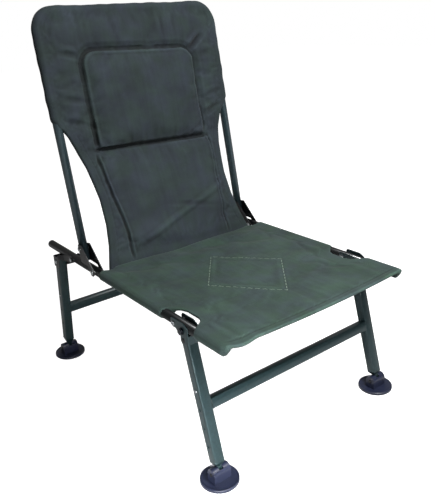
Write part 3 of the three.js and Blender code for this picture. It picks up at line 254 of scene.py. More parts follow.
RAIL_X = 260
RAIL_Z = 338
PIVOT = Vector((0, 128, RAIL_Z))
LEAN = math.radians(10.6)
ARM = 51.3
BACK_TOP = 638.5
TUBE = 11
SLEEVE = 14.6
SEAM = 289.5
HEAD_TOP = 538.5
PAD_HALF = 167
FOOT = -4
PANEL_FRONT = 12.5
PANEL_THICK = 15.5
PANEL_BEND = 296
LOWER_SLOPE = 0.21
LEDGE = 330
WAIST = [(-10, 234), (0, 232), (51.5, 216), (107, 206), (170, 203), (207, 207), (255, 214), (303.5, 228),
         (335, 240), (352, 249), (366, 266), (384, 274.6)]


def step(low, high, value):
    share = min(1.0, max(0.0, (value - low) / (high - low)))
    return share * share * (3 - 2 * share)


def lerp(a, b, share):
    return a + (b - a) * share


def table_at(table, place):
    for (k0, v0), (k1, v1) in zip(table, table[1:]):
        if place < k1:
            return lerp(v0, v1, step(k0, k1, place) if k0 > LEDGE else max(0, (place - k0) / (k1 - k0)))
    return table[-1][1]


def back_point(x, d, up):
    """World point, in metres, of a place on the back."""
    y = ARM - d
    return Vector((
        x,
        PIVOT.y + y * math.cos(LEAN) + up * math.sin(LEAN),
        PIVOT.z - y * math.sin(LEAN) + up * math.cos(LEAN),
    )) * MM


def back_place(spot):
    """Place on the back of a world point in millimetres: x, d in front of the tubes' plane, up."""
    y, z = spot.y - PIVOT.y, spot.z - PIVOT.z
    along = y * math.cos(LEAN) - z * math.sin(LEAN)
    return spot.x, ARM - along, y * math.sin(LEAN) + z * math.cos(LEAN)


def forward(up):
    """How far the lower panel leans out in front of the upper one at a height."""
    return max(0.0, PANEL_BEND - up) * LOWER_SLOPE


def ridge(value, width):
    """Smooth bump of height 1 round 0, gone at a width either side."""
    return max(0.0, 1 - (value / width) ** 2) ** 2


def fold(x, y, size, seed):
    return noise.noise(Vector((x / size, y / size, seed)))


def back_half(up, bend):
    """Half-width of the back cover at a height, its top corners rounded."""
    outer = bend + SLEEVE
    centre = BACK_TOP - bend
    if up < centre:
        return table_at(WAIST, up)
    rise = min(outer, up - centre)
    return RAIL_X - bend + math.sqrt(max(0.0, outer ** 2 - rise ** 2))


def edge_distance(x, up, bend):
    """How far a place on the back is inside the cover's outline."""
    outer = bend + SLEEVE
    centre = BACK_TOP - bend
    corner = RAIL_X - bend
    if up > centre and abs(x) > corner:
        return outer - math.hypot(abs(x) - corner, up - centre)
    if up > centre:
        return min(BACK_TOP + SLEEVE - up, RAIL_X + SLEEVE - abs(x))
    return back_half(up, bend) - abs(x)


def head_pad(x, up):
    """Distance inside the head pad's rounded outline, less than 0 outside it."""
    radius = 38
    top = HEAD_TOP - 4 - 0.035 * x
    qx = abs(x) - (PAD_HALF - radius)
    qy = abs(up - (top + SEAM) / 2) - ((top - SEAM) / 2 - radius)
    if up < SEAM + radius:
        return min(PAD_HALF - abs(x), up - SEAM)
    outside = math.hypot(max(qx, 0), max(qy, 0)) + min(max(qx, qy), 0)
    return radius - outside


def lumbar_side(x, up):
    """Distance inside the lumbar pad's side seam."""
    return lerp(158, 178, step(60, 270, up)) - abs(x)


def back_front(x, up):
    """Front of the back before its simulation: the two pads on the flat panel."""
    base = PANEL_FRONT + forward(up)
    crown = max(0.0, 1 - (x / PAD_HALF) ** 2)
    high = max(0.0, math.sin(math.pi * min(1, max(0, (up - SEAM) / (HEAD_TOP - SEAM)))))
    front = base + step(-2, 11, head_pad(x, up)) * (8 + 4 * crown * high)
    fade = step(FOOT, 70, up) * step(0, 14, SEAM - up)
    front += fade * step(0, 26, lumbar_side(x, up)) * (3.5 + 2.5 * crown)
    return front - 4 * ridge(up - SEAM, 9) * step(0, 30, PAD_HALF + 20 - abs(x))


def back_details(x, up, bend, wrinkle):
    """Seams, piping, puckers and creases, added to the simulated front of the back."""
    inside = head_pad(x, up)
    over_seam = step(SEAM + 4, SEAM + 26, up)
    seam = up - SEAM
    seam_share = step(0, 34, PAD_HALF + 24 - abs(x))
    more = 3.2 * ridge(inside - 4.5, 5.5) * over_seam - 4.5 * ridge(inside + 4, 7) * over_seam
    more -= 4.0 * ridge(inside + 9, 15) * over_seam
    more -= 10.0 * ridge(seam + 0.03 * x, 7.5) * seam_share
    gather = math.sin(x / 5.5 + 3 * fold(x, up, 50, 21))
    more += wrinkle * 0.32 * gather * math.exp(-abs(seam) / 15) * seam_share
    along = x if abs(up - HEAD_TOP) < 30 else up
    gather = math.sin(along / 6.5 + 4 * fold(x, up, 60, 22))
    more += wrinkle * 0.26 * gather * math.exp(-abs(inside) / 13) * over_seam
    side = lumbar_side(x, up)
    below = step(0, 20, SEAM - up)
    more += (2.4 * ridge(side - 6, 6) - 5.5 * ridge(side, 6.5)) * below
    gather = math.sin(up / 6 + 4 * fold(x, up, 50, 23))
    more += wrinkle * 0.24 * gather * math.exp(-abs(side) / 14) * below
    hem = back_half(up, bend) - abs(x) - 22
    more -= 1.3 * ridge(hem, 3.5) * step(0, 20, 352 - up)
    slack = step(40, 180, SEAM - up)
    low = math.sin((up - 18) / 15 + 0.012 * x + 1.6 * fold(x, up, 110, 3)) * step(FOOT, 24, up)
    more += wrinkle * 1.3 * slack * low * ridge(up - 60, 95)
    more += wrinkle * 2.1 * ridge((up - 66) - 0.34 * (x + 60), 15) * step(-200, -60, x) * slack
    more -= wrinkle * 1.2 * ridge((up - 112) + 0.22 * (x - 40), 11) * ridge(x - 60, 110)
    for centre_x, centre_up, slope, size, reach, depth in CREASES:
        run, off = (x - centre_x), (up - centre_up)
        across = off * math.cos(slope) - run * math.sin(slope)
        length_on = run * math.cos(slope) + off * math.sin(slope)
        across += 3 * fold(x, up, 40, centre_up)
        profile = ridge(across, size) - 0.5 * ridge(across - size * 1.4, size)
        more -= depth * profile * ridge(length_on, reach)
    more += wrinkle * 1.2 * fold(x, up * 0.5, 80, 1) + wrinkle * 0.6 * fold(x * 0.6, up, 30, 2)
    return more * step(FOOT + 2, 26, up)


# Creases of the back: middle across and up, slope, half-width, half-length and depth
CREASES = (
    (186, 540, 0.7, 12, 44, 9.0),
    (214, 508, 0.2, 13, 52, 2.4),
    (216, 452, -0.15, 15, 46, 1.8),
    (222, 398, 0.2, 11, 46, 2.6),
    (206, 352, 0.34, 11, 56, 4.0),
    (-200, 534, -0.1, 11, 46, 4.6),
    (-222, 486, 0.1, 15, 44, 1.6),
    (-206, 424, -0.2, 11, 52, 3.4),
    (-204, 366, -0.3, 12, 60, 4.2),
    (-150, 596, 1.35, 14, 42, 1.4),
    (-30, 598, 1.5, 15, 42, 1.5),
    (84, 598, 1.62, 10, 46, 2.6),
    (122, 594, 1.5, 12, 40, 1.6),
)


def back_surface(x, up, front_side, bend):
    """Front or rear height of the closed cover, round at its rim and full over the tubes."""
    base_rear = PANEL_FRONT + forward(up) - PANEL_THICK
    share = step(346, 380, up)
    rim = lerp(base_rear + 7.75, 0, share)
    radius = lerp(7.5, SLEEVE, share)
    inside = max(0.0, edge_distance(x, up, bend))
    near = min(inside, radius)
    round_share = math.sqrt(max(0.0, radius ** 2 - (radius - near) ** 2)) / radius
    if front_side:
        level = lerp(rim + radius, back_front(x, up), step(radius * 0.6, radius + 26, inside))
        return rim + round_share * (level - rim)
    level = lerp(rim - radius, base_rear + 0.8 * fold(x, up, 60, 5), step(radius + 7, radius + 30, inside))
    return rim - round_share * (rim - level)


SIM_FRAMES = 20
SHARP_ANGLE = math.radians(34)
MOULD_ANGLE = math.radians(38)


def simulate(piece, hold, pressure, growth, limit):
    """Cloth simulation of a piece's skin, held by a weight for each place, moved by a limited way."""
    rest = [v.co.copy() for v in piece.data.vertices]
    held = piece.vertex_groups.new(name="held")
    for v in piece.data.vertices:
        held.add([v.index], hold(v.co / MM), "REPLACE")
    cloth = piece.modifiers.new("cloth", "CLOTH")
    cloth.settings.vertex_group_mass = "held"
    cloth.settings.quality = 6
    cloth.settings.mass = 0.25
    cloth.settings.tension_stiffness = 18
    cloth.settings.compression_stiffness = 12
    cloth.settings.shear_stiffness = 6
    cloth.settings.bending_stiffness = 0.6
    cloth.settings.shrink_min = -growth
    cloth.settings.use_pressure = True
    cloth.settings.uniform_pressure_force = pressure
    cloth.settings.effector_weights.gravity = 0
    cloth.collision_settings.use_collision = False
    cloth.point_cache.frame_start = 1
    cloth.point_cache.frame_end = SIM_FRAMES
    scene = bpy.context.scene
    for number in range(1, SIM_FRAMES + 1):
        scene.frame_set(number)
    posed = piece.evaluated_get(bpy.context.evaluated_depsgraph_get()).to_mesh()
    moved = [v.co.copy() for v in posed.vertices]
    piece.modifiers.remove(cloth)
    scene.frame_set(1)
    for v, start, end in zip(piece.data.vertices, rest, moved):
        way = end - start
        size = way.length
        v.co = start + way * (limit * math.tanh(size / limit) / size if size > 0 else 0)


def refine(piece):
    """Splits every face of a piece in four, with the surface rounded through them."""
    smoothing = piece.modifiers.new("soft cloth", "SUBSURF")
    smoothing.levels = 1
    smoothing.render_levels = 1
    coarse = piece.data
    piece.data = bpy.data.meshes.new_from_object(piece.evaluated_get(bpy.context.evaluated_depsgraph_get()))
    piece.modifiers.remove(smoothing)
    bpy.data.meshes.remove(coarse)


def add_details(piece, height):
    """Moves a piece's vertices along their normals by a height in millimetres."""
    ways = [v.normal.copy() for v in piece.data.vertices]
    for v, way in zip(piece.data.vertices, ways):
        v.co += way * height(v.co / MM, way) * MM
    piece.data.update()


def even_and_edge(share, edge):
    """Spreads 0..1 so that the samples crowd near both ends."""
    return lerp(share, 0.5 - 0.5 * math.cos(math.pi * share), edge)


def grid_sheet(name, columns, rows, place):
    """Closed two-sided form: a grid whose front and rear are placed by a function and share one rim."""
    shell = bmesh.new()
    bmesh.ops.create_grid(shell, x_segments=columns, y_segments=rows, size=0.5)
    twin = bmesh.ops.duplicate(shell, geom=shell.verts[:] + shell.edges[:] + shell.faces[:])
    rear = {v for v in twin["geom"] if isinstance(v, bmesh.types.BMVert)}
    bmesh.ops.reverse_faces(shell, faces=[f for f in twin["geom"] if isinstance(f, bmesh.types.BMFace)])
    for v in shell.verts:
        v.co = place(v.co.x + 0.5, v.co.y + 0.5, v not in rear)
    bmesh.ops.remove_doubles(shell, verts=shell.verts, dist=0.02 * MM)
    bmesh.ops.recalc_face_normals(shell, faces=shell.faces)
    return finish_mesh(name, shell)


def finish_mesh(name, shell, smooth=True):
    mesh = bpy.data.meshes.new(name)
    for face in shell.faces:
        face.smooth = smooth
    shell.to_mesh(mesh)
    shell.free()
    piece = bpy.data.objects.new(name, mesh)
    bpy.context.scene.collection.objects.link(piece)
    return piece


def paint(piece, material):
    piece.data.materials.clear()
    piece.data.materials.append(material)


# Operators

class ChairOperator:
    bl_options = {"REGISTER", "UNDO"}

    @property
    def sizes(self):
        return bpy.context.scene.chair_sizes

    @property
    def colours(self):
        return bpy.context.scene.chair_colours


FINISHES = {}


class CHAIR_OT_finishes(ChairOperator, bpy.types.Operator):
    """Makes every finish of the chair"""
    bl_idname = "chair.finishes"
    bl_label = "Chair Finishes"

    def execute(self, context):
        tone = self.colours
        FINISHES["tube"] = hammered_paint("gloss powder coat", tone.tube, self.sizes.hammer, 0.34, 0.05 * MM)
        # The rails get the tube's paint as a darker copy, as painted shade.
        FINISHES["rail"] = hammered_paint("tube powder coat in painted shade", tone.rail, self.sizes.hammer, 0.34, 0.05 * MM)
        FINISHES["leg"] = hammered_paint("hammered powder coat", tone.leg, self.sizes.hammer, 0.34, 0.12 * MM)
        FINISHES["black"] = black_coat("black electro coat", tone.black)
        FINISHES["zinc"] = plated_steel("bright zinc plate", tone.zinc, 0.22)
        FINISHES["bolt"] = plated_steel("blued steel", tone.bolt, 0.18)
        FINISHES["plastic"] = moulded_plastic("moulded nylon", tone.plastic)
        FINISHES["back"] = woven_polyester("back polyester", tone.back_cloth, self.sizes.thread)[0]
        FINISHES["seat"] = seat_polyester(tone, self.sizes.thread)
        return {"FINISHED"}


def seat_polyester(tone, spacing):
    """The seat's polyester, with the lighter thread of its sewn diamond."""
    material, tree, shader, base = woven_polyester("seat polyester", tone.seat_cloth, spacing)
    place = add(tree, "ShaderNodeTexCoord").outputs["Object"]
    axes = add(tree, "ShaderNodeSeparateXYZ", {}, {0: place})
    shifted = add(tree, "ShaderNodeMath", {"operation": "ADD", 1: -DIAMOND_Y * MM}, {0: axes.outputs["Y"]})
    shares = []
    for socket, reach in ((axes.outputs["X"], DIAMOND_X * MM), (shifted.outputs[0], DIAMOND_LENGTH * MM)):
        size = add(tree, "ShaderNodeMath", {"operation": "ABSOLUTE"}, {0: socket})
        shares.append(add(tree, "ShaderNodeMath", {"operation": "DIVIDE", 1: reach}, {0: size.outputs[0]}))
    total = add(tree, "ShaderNodeMath", {"operation": "ADD"},
                {0: shares[0].outputs[0], 1: shares[1].outputs[0]})
    line = add(tree, "ShaderNodeMath", {"operation": "COMPARE", 1: 1.0, 2: 0.011}, {0: total.outputs[0]})
    gaps = add(tree, "ShaderNodeTexWave", {"Scale": 24.0, "bands_direction": "Y"}, {"Vector": place})
    stitch = add(tree, "ShaderNodeMath", {"operation": "GREATER_THAN", 1: 0.22}, {0: gaps.outputs["Fac"]})
    seen = add(tree, "ShaderNodeMath", {"operation": "MULTIPLY"}, {0: line.outputs[0], 1: stitch.outputs[0]})
    faint = add(tree, "ShaderNodeMath", {"operation": "MULTIPLY", 1: 0.34}, {0: seen.outputs[0]})
    mix = add(tree, "ShaderNodeMix", {"data_type": "RGBA"}, {0: faint.outputs[0], 6: base.outputs[2]})
    mix.inputs[7].default_value = (*tone.thread, 1)
    tree.links.new(mix.outputs[2], shader.inputs["Base Color"])
    return material


def shell_of(node, edge):
    """Merged copy of a CAD node with softened edges, in the node's place."""
    source = NODES[node]
    shell = bmesh.new()
    shell.from_mesh(source.data)
    bmesh.ops.remove_doubles(shell, verts=shell.verts, dist=0.002 * MM)
    bmesh.ops.dissolve_limit(shell, angle_limit=math.radians(0.6), verts=shell.verts, edges=shell.edges)
    for face in shell.faces:
        face.smooth = True
    for item in shell.edges:
        if len(item.link_faces) == 2 and item.calc_face_angle() > SHARP_ANGLE:
            item.smooth = False
    piece = finish_mesh(node + "_finish", shell)
    softening = piece.modifiers.new("softened edge", "BEVEL")
    softening.width = edge
    softening.segments = 2
    softening.limit_method = "ANGLE"
    softening.angle_limit = SHARP_ANGLE
    softening.use_clamp_overlap = True
    return piece


def dress(nodes, finish, body, edge):
    for node in nodes:
        piece = shell_of(node, edge)
        paint(piece, FINISHES[finish])
        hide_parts(node)
        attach(piece, body)


def pair(name):
    return [f"{name}_{side}" for side in SIDES]


class CHAIR_OT_brackets(ChairOperator, bpy.types.Operator):
    """Dresses the brackets, rivets, bolts and caps"""
    bl_idname = "chair.brackets"
    bl_label = "Chair Brackets"

    def execute(self, context):
        dress(pair("front_leg_bracket"), "leg", "seat_frame", 0.4 * MM)
        dress(pair("rear_leg_bracket"), "black", "seat_frame", 0.4 * MM)
        dress(pair("rail_cap"), "plastic", "seat_frame", 0.3 * MM)
        dress(pair("front_bracket_rivet") + pair("rear_bracket_rivet") + pair("back_pivot_rivet"), "zinc",
              "seat_frame", 0.2 * MM)
        dress(pair("front_bracket_bolt"), "bolt", "seat_frame", 0.3 * MM)
        dress(pair("back_bracket"), "black", "back", 0.4 * MM)
        dress(pair("back_bracket_rivet"), "zinc", "back", 0.2 * MM)
        return {"FINISHED"}


class CHAIR_OT_legs(ChairOperator, bpy.types.Operator):
    """Dresses the square legs, their plugs, buttons and crossbars"""
    bl_idname = "chair.legs"
    bl_label = "Chair Legs"

    def execute(self, context):
        for end in ("front", "rear"):
            body = f"{end}_legs"
            dress(pair(f"{end}_leg_tube") + [f"{end}_crossbar"], "leg", body, 0.4 * MM)
            plated = end == "rear"
            dress(pair(f"{end}_leg_pivot"), "zinc" if plated else "black",
                  body, 0.2 * MM)
            for side in SIDES:
                inner = f"{end}_inner_leg_{side}_slide"
                dress([f"{end}_inner_leg_{side}"], "leg", inner, 0.3 * MM)
                dress([f"{end}_leg_plug_{side}"], "leg", inner, 0.5 * MM)
                pushed = f"{end}_button_{side}_push"
                dress([f"{end}_button_{side}"], "zinc", pushed, 0.2 * MM)
                self.spring(f"{end}_leaf_spring_{side}", inner, pushed)
        dress(pair("rear_leg_cap"), "plastic", "rear_legs", 0.4 * MM)
        return {"FINISHED"}

    def spring(self, node, inner, pushed):
        """Leaf spring, dressed in zinc and fixed in place, though on the chair its outer arm goes in with its
        button while the other arm stays.
        """
        piece = shell_of(node, 0.1 * MM)
        paint(piece, FINISHES["zinc"])
        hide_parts(node)
        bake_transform(piece)


class CHAIR_OT_tubes(ChairOperator, bpy.types.Operator):
    """Models the round rails and the bent back tube"""
    bl_idname = "chair.tubes"
    bl_label = "Chair Tubes"

    def execute(self, context):
        for side, sign in zip(SIDES, (-1, 1)):
            low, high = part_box(f"side_rail_{side}")
            rail = bmesh.new()
            bmesh.ops.create_cone(rail, cap_ends=True, segments=48, radius1=TUBE * MM, radius2=TUBE * MM,
                                  depth=high.y - low.y)
            turn = Matrix.Rotation(math.pi / 2, 4, "X")
            bmesh.ops.transform(rail, matrix=Matrix.Translation((low + high) / 2) @ turn, verts=rail.verts)
            piece = finish_mesh(f"side_rail_{side}_tube", rail)
            self.dress(piece, f"side_rail_{side}", "seat_frame")
        tube = bmesh.new()
        ring = bmesh.ops.create_circle(tube, segments=48, radius=TUBE * MM)["verts"]
        bend = self.sizes.bend
        foot = 24 * MM
        bmesh.ops.translate(tube, verts=ring, vec=(-RAIL_X * MM, 0, foot))
        edges = tube.edges[:]
        straight = BACK_TOP * MM - bend - foot
        edges = self.push(tube, edges, (0, 0, straight))
        side_x = RAIL_X * MM - bend
        edges = self.turn(tube, edges, (-side_x, 0, BACK_TOP * MM - bend))
        edges = self.push(tube, edges, (2 * side_x, 0, 0))
        edges = self.turn(tube, edges, (side_x, 0, BACK_TOP * MM - bend))
        self.push(tube, edges, (0, 0, -straight))
        bmesh.ops.holes_fill(tube, edges=tube.edges, sides=0)
        bmesh.ops.recalc_face_normals(tube, faces=tube.faces)
        for v in tube.verts:
            v.co = back_point(v.co.x / MM, -v.co.y / MM, v.co.z / MM)
        piece = finish_mesh("back_tube_tube", tube)
        self.dress(piece, "back_tube", "back")
        return {"FINISHED"}

    def push(self, tube, edges, way):
        made = bmesh.ops.extrude_edge_only(tube, edges=edges)["geom"]
        bmesh.ops.translate(tube, verts=[v for v in made if isinstance(v, bmesh.types.BMVert)], vec=way)
        return [e for e in made if isinstance(e, bmesh.types.BMEdge)]

    def turn(self, tube, edges, centre):
        made = bmesh.ops.spin(tube, geom=edges, cent=centre, axis=(0, 1, 0), angle=math.pi / 2, steps=16)
        return [e for e in made["geom_last"] if isinstance(e, bmesh.types.BMEdge)]

    def dress(self, piece, node, body):
        for face in piece.data.polygons:
            face.use_smooth = len(face.vertices) == 4
        paint(piece, FINISHES["tube" if body == "back" else "rail"])
        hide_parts(node)
        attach(piece, body)


LEG_LEANS = (("front", -15.35), ("rear", 7.14))
ANKLE = 24
HUB_RADIUS = 13
HUB_HALF = 22
HUB_FOOT = 4.5
TILT = math.radians(26)
POCKET_RADIUS = 7.1
POCKET_HALF = 5.3
POCKET_REACH = 26


class CHAIR_OT_feet(ChairOperator, bpy.types.Operator):
    """Models the round swivel feet with their slotted hubs"""
    bl_idname = "chair.feet"
    bl_label = "Chair Feet"

    def execute(self, context):
        for end, lean in LEG_LEANS:
            hub = self.hub(math.radians(lean))
            for side in SIDES:
                node = f"{end}_foot_{side}"
                low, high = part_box(node)
                centre = Vector(((low.x + high.x) / 2, (low.y + high.y) / 2, 0))
                foot = bmesh.new()
                self.disc(foot)
                foot.from_mesh(hub)
                bmesh.ops.recalc_face_normals(foot, faces=foot.faces)
                bmesh.ops.translate(foot, verts=foot.verts, vec=centre)
                piece = finish_mesh(node + "_moulding", foot)
                piece.data.set_sharp_from_angle(angle=MOULD_ANGLE)
                soft = piece.modifiers.new("mould radius", "BEVEL")
                soft.width = 0.7 * MM
                soft.segments = 3
                soft.limit_method = "ANGLE"
                soft.angle_limit = MOULD_ANGLE
                paint(piece, FINISHES["plastic"])
                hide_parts(node)
                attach(piece, f"{node}_swivel")
                dress([f"{end}_foot_pin_{side}"], "black", f"{node}_swivel", 0.2 * MM)
        return {"FINISHED"}

    def disc(self, foot):
        profile = [(0, 0), (41.8, 0), (43, 1.2), (43, 6.8), (41.8, 8), (40.4, 8), (38.4, 6.2), (24, 5.6),
                   (0, 5.5)]
        points = [foot.verts.new((r * MM, 0, z * MM)) for r, z in profile]
        edges = [foot.edges.new(ends) for ends in zip(points, points[1:])]
        bmesh.ops.spin(foot, geom=points + edges, cent=(0, 0, 0), axis=(0, 0, 1), angle=math.tau, steps=72,
                       use_merge=True, use_duplicate=False)
        bmesh.ops.remove_doubles(foot, verts=foot.verts, dist=0.01 * MM)

    def block(self, name, outline, low, high):
        """Prism along X from an outline of (y, z) places."""
        shape = bmesh.new()
        face = shape.faces.new([shape.verts.new((low * MM, y * MM, z * MM)) for y, z in outline])
        grown = bmesh.ops.extrude_face_region(shape, geom=[face])
        tips = [v for v in grown["geom"] if isinstance(v, bmesh.types.BMVert)]
        bmesh.ops.translate(shape, verts=tips, vec=((high - low) * MM, 0, 0))
        bmesh.ops.recalc_face_normals(shape, faces=shape.faces)
        return finish_mesh(name, shape)

    def hub(self, lean):
        """Half-round block with a pocket in which the leaning leg's tongue can tilt."""
        arch = [(math.cos(a) * HUB_RADIUS, ANKLE + math.sin(a) * HUB_RADIUS)
                for a in (math.pi * i / 32 for i in range(33))]
        outline = [(HUB_RADIUS, HUB_FOOT)] + arch + [(-HUB_RADIUS, HUB_FOOT)]
        block = self.block("hub", outline, -HUB_HALF, HUB_HALF)
        round_floor = [(math.cos(a) * POCKET_RADIUS, ANKLE + math.sin(a) * POCKET_RADIUS)
                       for a in (-TILT - (math.pi - 2 * TILT) * i / 16 for i in range(17))]
        mouth = [(y + way * POCKET_REACH * math.sin(TILT), z + POCKET_REACH * math.cos(TILT))
                 for way, (y, z) in ((-1, round_floor[-1]), (1, round_floor[0]))]
        pocket = self.block("pocket", round_floor + mouth, -POCKET_HALF, POCKET_HALF)
        ankle = Matrix.Translation((0, 0, ANKLE * MM))
        pocket.data.transform(ankle @ Matrix.Rotation(lean, 4, "X") @ ankle.inverted())
        opening = block.modifiers.new("pocket", "BOOLEAN")
        opening.object = pocket
        opening.solver = "EXACT"
        graph = bpy.context.evaluated_depsgraph_get()
        mesh = bpy.data.meshes.new_from_object(block.evaluated_get(graph))
        bpy.data.objects.remove(pocket)
        bpy.data.objects.remove(block)
        return mesh


class CHAIR_OT_back(ChairOperator, bpy.types.Operator):
    """Models the padded back cover"""
    bl_idname = "chair.back"
    bl_label = "Chair Back"

    def execute(self, context):
        wrinkle = self.sizes.wrinkle / MM
        bend = self.sizes.bend / MM
        top = BACK_TOP + SLEEVE

        def place(u, v, front_side):
            up = FOOT + (top - FOOT) * (v if v < 0.9 else 0.9 + 0.1 * math.sin((v - 0.9) * 5 * math.pi))
            x = (even_and_edge(u, 0.75) * 2 - 1) * back_half(up, bend)
            return back_point(x, back_surface(x, up, front_side, bend), up)

        def hold(spot):
            x, d, up = back_place(spot)
            edge = 1 - step(10, 34, edge_distance(x, up, bend))
            seams = max(ridge(head_pad(x, up), 7), ridge(up - SEAM, 8))
            if d < 6 + forward(up):
                return 1.0
            return min(1.0, max(edge, 0.9 * seams, 1 - step(FOOT, 60, up)))

        def details(spot, way):
            x, d, up = back_place(spot)
            share = step(8, 40, edge_distance(x, up, bend)) * step(0, 0.6, -way.y)
            rim = 0.9 * wrinkle * fold(x, up, 30, 31) * (1 - share)
            return back_details(x, up, bend, wrinkle) * share + rim * step(330, 380, up)

        cover = grid_sheet("back_cover_cloth", 98, 124, place)
        simulate(cover, hold, 3.0, 0.02, self.sizes.swell)
        refine(cover)
        add_details(cover, details)
        paint(cover, FINISHES["back"])
        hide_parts("back_cover", "back_skirt")
        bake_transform(cover)
        return {"FINISHED"}


# Shapes of the seat: sleeves, ends, sag, thickness, sewn diamond, and half-widths at places along it

SEAT_SLEEVE = 13.5
SEAT_TIP = 6
SEAT_FRONT = -408
SEAT_REAR = 93
SEAT_TAIL = 103.8
SEAT_DROP = 1
SEAT_SAG = 8
SEAT_THICK = 7
LIP = 3
DIAMOND_Y = -153
DIAMOND_X = 116
DIAMOND_LENGTH = 142
NOTCH = [(-408, 266), (-396, 273.5), (-310, 273.5), (-303, 268), (-297, 256), (-290, 244), (-280, 234),
         (-265, 229), (-225, 229), (-210, 235), (-200, 246), (-193, 260), (-188, 270), (-182, 273.5)]


def seat_half(y):
    for (k0, v0), (k1, v1) in zip(NOTCH, NOTCH[1:]):
        if y < k1:
            return lerp(v0, v1, max(0.0, (y - k0) / (k1 - k0)))
    return NOTCH[-1][1]


def seat_surface(x, y, upper, wrinkle):
    """Top or underside of the seat cover, wrapped round the rails where it has its sleeves."""
    half = seat_half(y)
    share = step(240, 266, half)
    sleeve = lerp(SEAT_TIP, SEAT_SLEEVE, min(1.0, (y - SEAT_FRONT) / 12))
    radius = lerp(3.4, sleeve, share)
    sag = SEAT_SAG * (1 - (x / RAIL_X) ** 2)
    top = RAIL_Z + SEAT_SLEEVE - SEAT_DROP - sag
    rim = lerp(top - SEAT_THICK / 2, RAIL_Z + SEAT_SLEEVE - sleeve, share)
    lobe = 6 * ridge(x + 222, 38) * (1 - step(-408, -372, y))
    inside = max(0.0, half - abs(x))
    near = min(inside, radius)
    round_share = math.sqrt(max(0.0, radius ** 2 - (radius - near) ** 2)) / radius
    rear = step(-180, 90, y)
    tension = math.sin((y + 0.5 * x) / 19 + 1.8 * fold(x, y, 150, 11)) * rear
    top += wrinkle * 0.7 * tension + wrinkle * 0.6 * fold(x * 0.4, y, 46, 12) * (0.4 + rear)
    top += wrinkle * 0.4 * fold(x, y, 34, 13) * ridge(half - abs(x) - 30, 40)
    diamond = abs(x) / DIAMOND_X + abs(y - DIAMOND_Y) / DIAMOND_LENGTH - 1
    top -= 1.1 * ridge(diamond, 0.035) - 0.7 * ridge(diamond + 0.09, 0.08)
    top -= 1.6 * ridge(y - (SEAT_FRONT + 18), 3.5) + lobe
    if upper:
        level = lerp(rim + radius, top, step(radius * 0.5, radius + 16, inside))
        return rim + round_share * (level - rim)
    under = RAIL_Z + SEAT_SLEEVE - SEAT_DROP - sag - SEAT_THICK - lobe
    level = lerp(rim - radius, under, step(radius, radius + 9, inside))
    return rim - round_share * (rim - level)


class CHAIR_OT_seat(ChairOperator, bpy.types.Operator):
    """Models the sewn seat cover with its rail sleeves"""
    bl_idname = "chair.seat"
    bl_label = "Chair Seat"

    def execute(self, context):
        wrinkle = self.sizes.wrinkle / MM

        def place(u, v, upper):
            x_share = even_and_edge(u, 0.7) * 2 - 1
            guess = SEAT_FRONT + (SEAT_REAR - SEAT_FRONT) * v
            x = x_share * seat_half(guess)
            tail = lerp(SEAT_TAIL, SEAT_REAR, step(216, 236, abs(x)))
            y = SEAT_FRONT + (tail - SEAT_FRONT) * v
            x = x_share * seat_half(y)
            z = seat_surface(x, y, upper, wrinkle)
            lip = min(v, 1 - v) * (tail - SEAT_FRONT)
            if lip < LIP:
                middle = (seat_surface(x, y, True, wrinkle) + seat_surface(x, y, False, wrinkle)) / 2
                z = lerp(middle, z, math.sqrt(max(0, 1 - (1 - lip / LIP) ** 2)))
            return Vector((x, y, z)) * MM

        def hold(spot):
            hem = min(spot.y - SEAT_FRONT, SEAT_REAR - spot.y)
            near = seat_half(spot.y) - abs(spot.x)
            return max(1 - step(4, 30, hem), 1 - step(16, 46, near))

        cover = grid_sheet("seat_cover_cloth", 110, 190, place)
        simulate(cover, hold, 0.6, 0.005, self.sizes.pucker)
        paint(cover, FINISHES["seat"])
        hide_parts("seat_cover")
        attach(cover, "seat_frame")
        return {"FINISHED"}


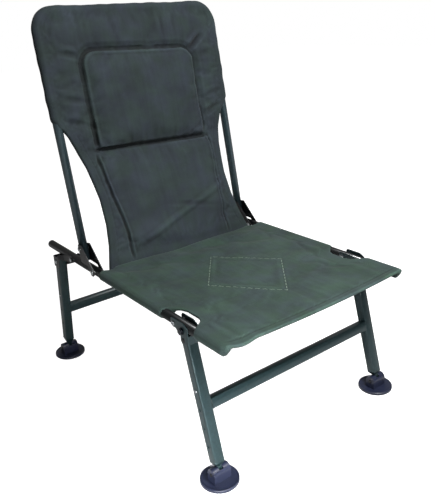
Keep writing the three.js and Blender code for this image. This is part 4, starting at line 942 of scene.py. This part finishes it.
class CHAIR_OT_stage(ChairOperator, bpy.types.Operator):
    """Makes the floor, the lights and the camera"""
    bl_idname = "chair.stage"
    bl_label = "Chair Stage"

    def execute(self, context):
        scene = context.scene
        floor = bmesh.new()
        bmesh.ops.create_grid(floor, x_segments=1, y_segments=1, size=12)
        plane = finish_mesh("studio_floor", floor, smooth=False)
        material, tree, shader, place = begin("studio floor paint", self.colours.floor, 0.9)
        haze = add(tree, "ShaderNodeTexNoise", {"Scale": 2.0}, {"Vector": place})
        tones(tree, shader, self.colours.floor, haze.outputs["Fac"], 0.985, 1.0)
        shader.inputs["Emission Color"].default_value = (1, 1, 1, 1)
        seen = add(tree, "ShaderNodeLightPath").outputs["Is Camera Ray"]
        glow = add(tree, "ShaderNodeMapRange", {"To Min": 0.03, "To Max": 1.0}, {"Value": seen})
        tree.links.new(glow.outputs["Result"], shader.inputs["Emission Strength"])
        plane.data.materials.append(material)

        world = bpy.data.worlds.new("studio")
        scene.world = world
        world.use_nodes = True
        sky = world.node_tree.nodes["Background"]
        sky.inputs["Color"].default_value = (1, 1, 1, 1)
        seen = add(world.node_tree, "ShaderNodeLightPath").outputs["Is Camera Ray"]
        power = add(world.node_tree, "ShaderNodeMapRange", {"To Min": 0.12, "To Max": 1.0}, {"Value": seen})
        world.node_tree.links.new(power.outputs["Result"], sky.inputs["Strength"])

        self.lamp("key light", (0.2, -1.3, 2.4), 0.4, 77, (0, -0.3, 0.34))
        self.lamp("front light", (-0.1, -1.0, 0.95), 0.3, 7, (0, -0.35, 0.34))
        self.lamp("low light", (-0.6, -0.85, 0.2), 0.3, 1.8, (-0.26, -0.36, 0.1), 50)
        self.lamp("back light", (1.2, 1.6, 1.8), 0.9, 12, (0, 0, 0.5))

        forward = Vector((0.5609, 0.7458, -0.3595)).normalized()
        level = forward.cross(Vector((0, 0, 1))).normalized()
        over = level.cross(forward)
        roll = -0.051
        right = level * math.cos(roll) + over * math.sin(roll)
        up = right.cross(forward)
        data = bpy.data.cameras.new("camera")
        data.sensor_fit = "VERTICAL"
        data.sensor_height = 36
        data.lens = 43.905
        camera = bpy.data.objects.new("camera", data)
        turn = Matrix((right, up, -forward)).transposed().to_4x4()
        camera.matrix_world = Matrix.Translation((-0.8638, -1.1897, 0.9311)) @ turn
        scene.collection.objects.link(camera)
        scene.camera = camera
        scene.view_settings.view_transform = "Standard"
        return {"FINISHED"}

    def lamp(self, name, place, size, power, target, spread=180):
        data = bpy.data.lights.new(name, "AREA")
        data.size = size
        data.energy = power
        data.spread = math.radians(spread)
        lamp = bpy.data.objects.new(name, data)
        way = Vector(target) - Vector(place)
        lamp.matrix_world = Matrix.Translation(place) @ way.to_track_quat("-Z", "Y").to_matrix().to_4x4()
        bpy.context.scene.collection.objects.link(lamp)


STEPS = ("finishes", "brackets", "legs", "tubes", "feet", "back", "seat", "stage")


class CHAIR_PT_panel(bpy.types.Panel):
    """Lists the chair's operators, sizes and colours"""
    bl_idname = "CHAIR_PT_panel"
    bl_label = "Folding Fishing Chair"
    bl_space_type = "VIEW_3D"
    bl_region_type = "UI"
    bl_category = "Chair"

    def draw(self, context):
        for name in STEPS:
            self.layout.operator(f"chair.{name}")
        for group in (context.scene.chair_sizes, context.scene.chair_colours):
            for key in group.bl_rna.properties.keys():
                if key not in {"rna_type", "name"}:
                    self.layout.prop(group, key)


CLASSES = (ChairColours, ChairSizes, CHAIR_OT_finishes, CHAIR_OT_brackets, CHAIR_OT_legs, CHAIR_OT_tubes,
           CHAIR_OT_feet, CHAIR_OT_back, CHAIR_OT_seat, CHAIR_OT_stage, CHAIR_PT_panel)


def register():
    for item in CLASSES:
        bpy.utils.register_class(item)
    bpy.types.Scene.chair_colours = bpy.props.PointerProperty(type=ChairColours)
    bpy.types.Scene.chair_sizes = bpy.props.PointerProperty(type=ChairSizes)


def unregister():
    del bpy.types.Scene.chair_sizes
    del bpy.types.Scene.chair_colours
    for item in reversed(CLASSES):
        bpy.utils.unregister_class(item)


def main():
    register()
    for name in STEPS:
        getattr(bpy.ops.chair, name)()


if __name__ == "__main__":
    main()
